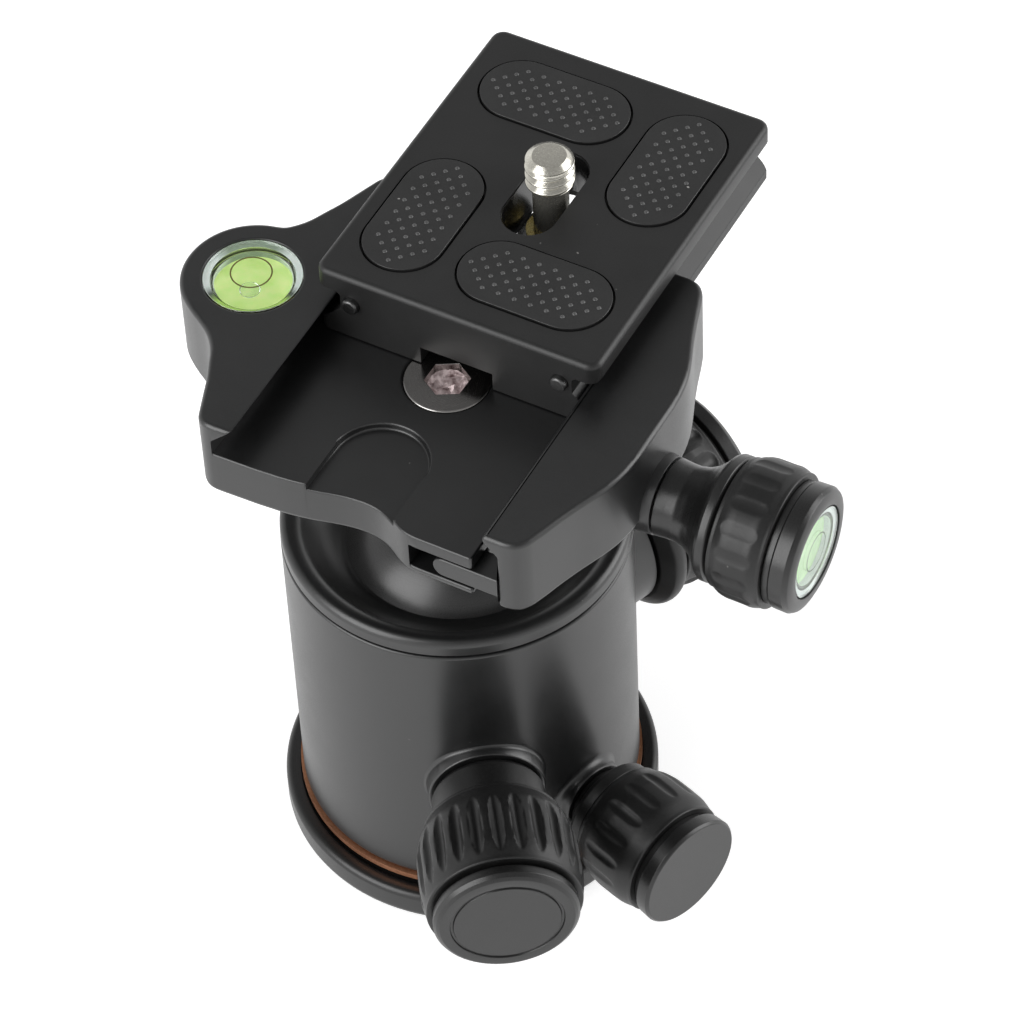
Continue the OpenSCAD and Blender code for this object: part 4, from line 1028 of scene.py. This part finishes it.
# %% Pan knob
pan_collar = rounded([(2.6, 24.1), (4.4, 24.1), (4.7, 24.8, 0.3), (6.4, 25.7, 0.5), (6.9, 26.3, 0.3),
                      (6.9, 27.6, 0.3), (6.6, 27.88)])
fitted(grip("pan_grip_shell", pan_place, 27.9, 38.1, (7.4, 8.4, 7.9), 16, 0.75, 0.22, (1.8, 2.4), 2.6,
            pan_collar, power=4), "pan_knob", "knob_rubber", knob_rubber, "pan_grip")
pan_cap = rounded([(0, 38.16), (7.0, 38.16), (7.1, 39.0, 0.2), (7.7, 39.1, 0.2), (7.8, 40.8, 0.2),
                   (7.5, 41.2, 0.25), (0, 41.2)])
fitted(lathed("pan_cap_shell", pan_cap, pan_place, 128), "pan_knob", "dark_trim", dark_trim, "pan_cap")

# %% Main lock knob
main_skirt = rounded([(3.06, 24.1), (11.3, 24.1, 0.5), (13.2, 25.4, 1.2), (13.35, 26.3, 1.5),
                      (13.0, 27.3, 1.2), (12.0, 27.8, 0.3), (11.9, 28.0)])
fitted(grip("main_grip_shell", main_place, 28.0, 38.3, (12.4, 13.2, 11.3), 18, 1.8, 1.25, (0.5, 0.7), 3.06,
            main_skirt, power=4, per_flute=20), "main_knob", "knob_rubber", knob_rubber, "main_grip")
main_cap = rounded([(0, 38.42), (10.2, 38.42), (10.2, 39.0, 0.2), (11.1, 39.1, 0.2), (11.2, 40.8, 0.3),
                    (10.6, 41.4, 0.3), (10.0, 41.5), (9.1, 41.5, 0.06), (9.0, 41.25, 0.05),
                    (8.7, 41.25, 0.05), (8.6, 41.5, 0.06), (0, 41.5)], steps=4)
fitted(lathed("main_cap_shell", main_cap, main_place, 160), "main_knob", "dark_trim", dark_trim, "main_cap")
for node in ("main_stud", "drag_stud", "pan_stud"):
    dressed(node, steel)

# %% [markdown]
# ## The clamp knob
# A waisted hub leads to the grip, and the knob's end holds a second, smaller level.

# %% Clamp knob
clamp_hub = rounded([(2.56, 30.4), (5.0, 30.4, 0.06), (4.88, 31.8, 3), (4.85, 33.0, 2), (5.2, 34.4, 3),
                     (5.9, 35.6, 3), (6.9, 36.6, 2), (7.9, 37.35, 0.6), (8.15, 37.8, 0.25),
                     (8.15, 38.7, 0.25), (7.8, 39.0, 0.2), (7.5, 39.2), (2.56, 39.2)], closed=True, steps=5)
fitted(lathed("clamp_hub_shell", clamp_hub, screw_place, 128, closed=True), "clamp_knob", "dark_trim",
       dark_trim, "clamp_hub")
fitted(grip("clamp_grip_shell", screw_place, 39.24, 46.5, (8.3, 9.0, 8.7), 16, 0.95, 0.15, (1.1, 1.2), 6.4,
            power=6, per_flute=20), "clamp_knob", "knob_rubber", knob_rubber, "clamp_grip")
clamp_cap = rounded([(0, 42.3), (6.3, 42.3), (6.3, 46.55), (7.9, 46.55, 0.1), (7.9, 47.4, 0.2),
                     (8.1, 47.6, 0.2), (8.15, 49.4, 0.3), (7.8, 50.0, 0.4), (7.0, 50.3, 0.2),
                     (6.04, 50.3, 0.1), (6.04, 44.0), (0, 44.0)])
fitted(lathed("clamp_cap_shell", clamp_cap, screw_place), "clamp_knob", "dark_trim", dark_trim, "clamp_cap")
level("knob_level", screw_place, "clamp_knob", 6.0, 44.05, 50.15, 4.7, 47.6, 48.9, 2.5, 0.16, None,
      fluid_mint_painted_glow, printed_dark, vial_white_painted_glow, ("knob_vial", "knob_fluid"))

# %% [markdown]
# ## The camera plate
# The plate is a prism of its dovetail section, cut to a rounded outline. Its slot, pad
# pockets and the groove underneath are milled. The slot's wall is bare from the cutter, so
# it is smoother than the blasted faces and mirrors the thread that stands in it.

# %% Plate
half_section = [(18.6, 78.3, 0.2), (18.9, 78.6, 0.1), (18.9, 80.0, 0.2), (16.0, 82.9, 0.3), (16.0, 85.1, 0.3),
                (16.5, 85.6, 0.2), (19.2, 85.6, 0.2), (19.7, 86.25, 0), (19.7, 92, 0)]
section = rounded([(plate_x + x, z, r) for x, z, r in half_section]
                  + [(plate_x - x, z, r) for x, z, r in half_section[::-1]], closed=True, steps=3)
plate_half_y = (plate_high[1] - plate_low[1]) / 2
corners = [(sx * 19.5, sy * plate_half_y, 1.7) for sx, sy in ((1, -1), (1, 1), (-1, 1), (-1, -1))]
plate_shift = np.array([plate_x, plate_y])
plate_top, pad_top = plate_high[2], span("plate_pads")[1][2]
slot_l, slot_half, groove_half, groove_top = 15.5, 3.6, 5.0, 81.0
pad_l, pad_w, pin_x, pin_z = 20.1, 10.4, 14.4, 84.2
pad_spots = [(6.3, -14.6, 0), (-6.4, 14.6, 0), (-11.7, -10.05, 90), (11.7, 10.05, 90)]


def pad_outline(spot, grow=0.0):
    """Oblong of a pad, turned and set at its place on the plate."""
    line = stadium(pad_l + 2 * grow, pad_w + 2 * grow)
    return (line @ quarter if spot[2] else line) + plate_shift + spot[:2]


plate = slab("plate_shell", rounded(corners, closed=True, steps=8) + plate_shift, plate_low[2] - 1, plate_top,
             0.0, 0.8)
carved(plate, along_y(section, plate_low[1] - 3, plate_high[1] + 3), operation="INTERSECT")
pockets = [slab("pocket", pad_outline(spot, 0.3), plate_top - 1.2, plate_top + 2) for spot in pad_spots]
slot_line = stadium(slot_l, 2 * slot_half) @ quarter + plate_shift
groove = block((plate_x - groove_half, plate_low[1] - 2, 70),
               (plate_x + groove_half, plate_high[1] + 2, groove_top))
carved(plate, *pockets, slab("slot", slot_line, 75, 95), groove)
pin_holes = [along_y(circle(1.15, 24) + [plate_x + side * pin_x, pin_z], end - 4, end + 4)
             for side in (-1, 1) for end in (plate_low[1], plate_high[1])]
carved(plate, *pin_holes)
fitted(softened(plate, 0.30), "plate", "black_metal", plate_black, "plate")
lining = slab("slot_wall", stadium(slot_l - 0.02, 2 * slot_half - 0.02) @ quarter + plate_shift,
              groove_top + 0.95, plate_top - 0.35)
carved(lining, slab("slot", stadium(slot_l - 0.16, 2 * slot_half - 0.16) @ quarter + plate_shift, 75, 95))
fitted(lining, "plate", "black_metal", milled_black)

# %% [markdown]
# ## Studded pads
# Four rubber pads stop the camera from twisting. Their studs stand in staggered rows, one
# small dome on each point of a lattice, and all of them are one formula evaluated on an
# array of centres at once.

# %% Pads with studs
stud_step, row_step, stud_r, stud_h = 1.10, 1.08, 0.42, 0.30
pad_face = pad_top - 0.14


def studs(spot):
    """Domes on the lattice points inside the pad: height = stud_h * (1 - (r / stud_r) ^ 2)."""
    i, j = np.meshgrid(np.arange(-8, 9), np.arange(-4, 5))
    inside = (((i + j) % 2 == 0) & (np.abs(i) * stud_step < pad_l / 2 - 1)
              & (np.abs(j) * row_step < pad_w / 2 - 1))
    centres = np.stack([i[inside] * stud_step, j[inside] * row_step], -1)
    beyond = np.maximum(np.abs(centres[:, 0]) - (pad_l - pad_w) / 2, 0)
    centres = centres[np.hypot(beyond, centres[:, 1]) < pad_w / 2 - 0.9]
    if spot[2]:
        centres = centres @ quarter
    r = np.array([1.0, 0.75, 0.4, 0.0]) * stud_r
    ring = np.linspace(0, 2 * np.pi, 11)
    x, y = r[:, None] * np.cos(ring), r[:, None] * np.sin(ring)
    z = np.repeat((pad_face - 0.14 + stud_h * (1 - (r / stud_r) ** 2))[:, None], 11, 1)
    foot = np.stack([x[:1], y[:1], z[:1] - 0.1], -1)
    dome = np.concatenate([foot, np.stack([x, y, z], -1)])
    shift = np.concatenate([centres + plate_shift + spot[:2], np.zeros((len(centres), 1))], 1)
    return [(dome + centre, dome[..., :2]) for centre in shift]


pads = [slab("pad", pad_outline(spot), plate_top - 1.16, pad_face, 0.1, 0.08) for spot in pad_spots]
fitted(joined("pad_bodies", *pads), "plate", "pad_rubber", pad_rubber, "plate_pads")
domes = [dome for spot in pad_spots for dome in studs(spot)]
# The studs' lighter material is a painted highlight.
fitted(piece("pad_studs", *domes, sharp=80), "plate", "pad_rubber", stud_rubber_painted_highlight)

# %% Stop pins and screw washer
pin_in = 3.4
pin_line = rounded([(0, 0), (1.1, 0, 0.2), (1.1, 4.2, 0.35), (0, 4.2)])
pins = [lathed("pin", pin_line, place, 32) for side in (-1, 1) for place in
        (lying(-90, pin_z, -plate_low[1] - pin_in) @ raised(0, plate_x + side * pin_x),
         lying(90, pin_z, plate_high[1] - pin_in) @ raised(0, -plate_x - side * pin_x))]
# The pins' darker steel is painted shade.
fitted(joined("stop_pin_set", *pins), "plate", "steel", pin_steel_painted_shade, "stop_pins")
dressed("slide_washer", steel)

# %% [markdown]
# ## The camera screw
# Its thread is the same helix function as in the foot, at a quarter inch and twenty turns
# to the inch. The top is turned flat with a chamfer, where the thread runs out.

# %% Screw and clip
screw_x, screw_y = (span("camera_screw")[0][:2] + span("camera_screw")[1][:2]) / 2
screw_low, screw_high = span("camera_screw")[0][2], span("camera_screw")[1][2]
thread_low, thread_r, thread_pitch = 89.7, 3.12, inch / 20
thread_line = np.stack([np.full(72, thread_r), np.linspace(thread_low + 0.45, screw_high - 0.75, 72)], -1)
head_line = rounded([(0, screw_low), (4.4, screw_low, 0.3), (4.4, screw_low + 1.6, 0.3),
                     (2.3, screw_low + 1.6, 0.2), (2.3, thread_low), (thread_r, thread_low + 0.4)])
top_line = rounded([(thread_r, screw_high - 0.7), (2.15, screw_high, 0.12), (0, screw_high)])
camera_line = np.vstack([head_line, thread_line, top_line])
helix = threaded(thread_pitch, 0.62, thread_low + 0.1, screw_high - 0.4)


def screw_thread(r, h, a):
    """The thread is cut only in the upper part, where the profile is at its full radius."""
    return np.where((r > thread_r - 0.22) & (h > thread_low - 1.7), helix(r, h, a), r)


camera_screw = lathed("camera_screw_shell", camera_line, raised(screw_x, screw_y), 96, sharp=50,
                      radius=screw_thread)
carved(camera_screw, block((screw_x - 0.7, screw_y - 6, screw_low - 1),
                           (screw_x + 0.7, screw_y + 6, screw_low + 0.9)))
fitted(camera_screw, "camera_screw", "zinc", zinc, "camera_screw")
dressed("screw_clip", yellow_steel)

# %% [markdown]
# ## Light
# The head stands on a white table with a wide white room round it, which is what black
# metal shows in its edges. Higher up the room is dimmer, so the flat tops stay dark. Two
# soft lamps shape the ball and the knobs.

# %% World
world = bpy.data.worlds.new("studio")
world.use_nodes = True
bpy.context.scene.world = world
tree = world.node_tree
up = add(tree, "SeparateXYZ", None, {0: add(tree, "TexCoord").outputs["Object"]}).outputs[2]
room = ramp(tree, up, 0.12, 0.75, 1.0, 0.30)
tree.nodes["Background"].inputs["Strength"].default_value = 1.0
tree.links.new(blended(tree, room, (0, 0, 0, 1), (1, 1, 1, 1)), tree.nodes["Background"].inputs["Color"])

# %% Lamps
def lamp(name, spot, target, size, watts):
    """Rectangular soft lamp at a spot in millimetres, facing a target."""
    data = bpy.data.lights.new(name, "AREA")
    data.shape, data.size, data.size_y, data.energy = "RECTANGLE", size[0], size[1], watts
    thing = bpy.data.objects.new(name, data)
    bpy.context.scene.collection.objects.link(thing)
    place = Vector(np.array(spot, float) * MM)
    facing = (place - Vector(np.array(target, float) * MM)).to_track_quat("Z", "Y")
    thing.matrix_world = Matrix.Translation(place) @ facing.to_matrix().to_4x4()
    print(name, "lamp of", watts, "W")


lamp("key", (-225, -430, 350), (0, 0, 60), (0.40, 0.50), 2.2)
lamp("fill", (410, 330, 290), (0, 0, 60), (0.40, 0.45), 1.6)

# %% Table
# The table glows a little for what sees or mirrors it, but keeps the soft shadow.
table_r, mirrored_glow, seen_glow = 1500, 0.45, 0.60
table = slab("table", circle(table_r, 64), -1.0, 0.0)
white, tree, shader = blank("white_table")
rays = add(tree, "LightPath").outputs
mirrored = maths(tree, "MAXIMUM", rays["Is Glossy Ray"], rays["Is Transmission Ray"])
glow = maths(tree, "MAXIMUM", maths(tree, "MULTIPLY", mirrored, mirrored_glow),
             maths(tree, "MULTIPLY", rays["Is Camera Ray"], seen_glow))
fill(tree, shader, {"Base Color": grey(0.80), "Roughness": 0.9, "Specular IOR Level": 0.0,
                    "Emission Color": (1, 1, 1, 1), "Emission Strength": glow})
table.data.materials.append(white)

# %% Finish
bpy.context.scene.view_settings.view_transform = "Standard"
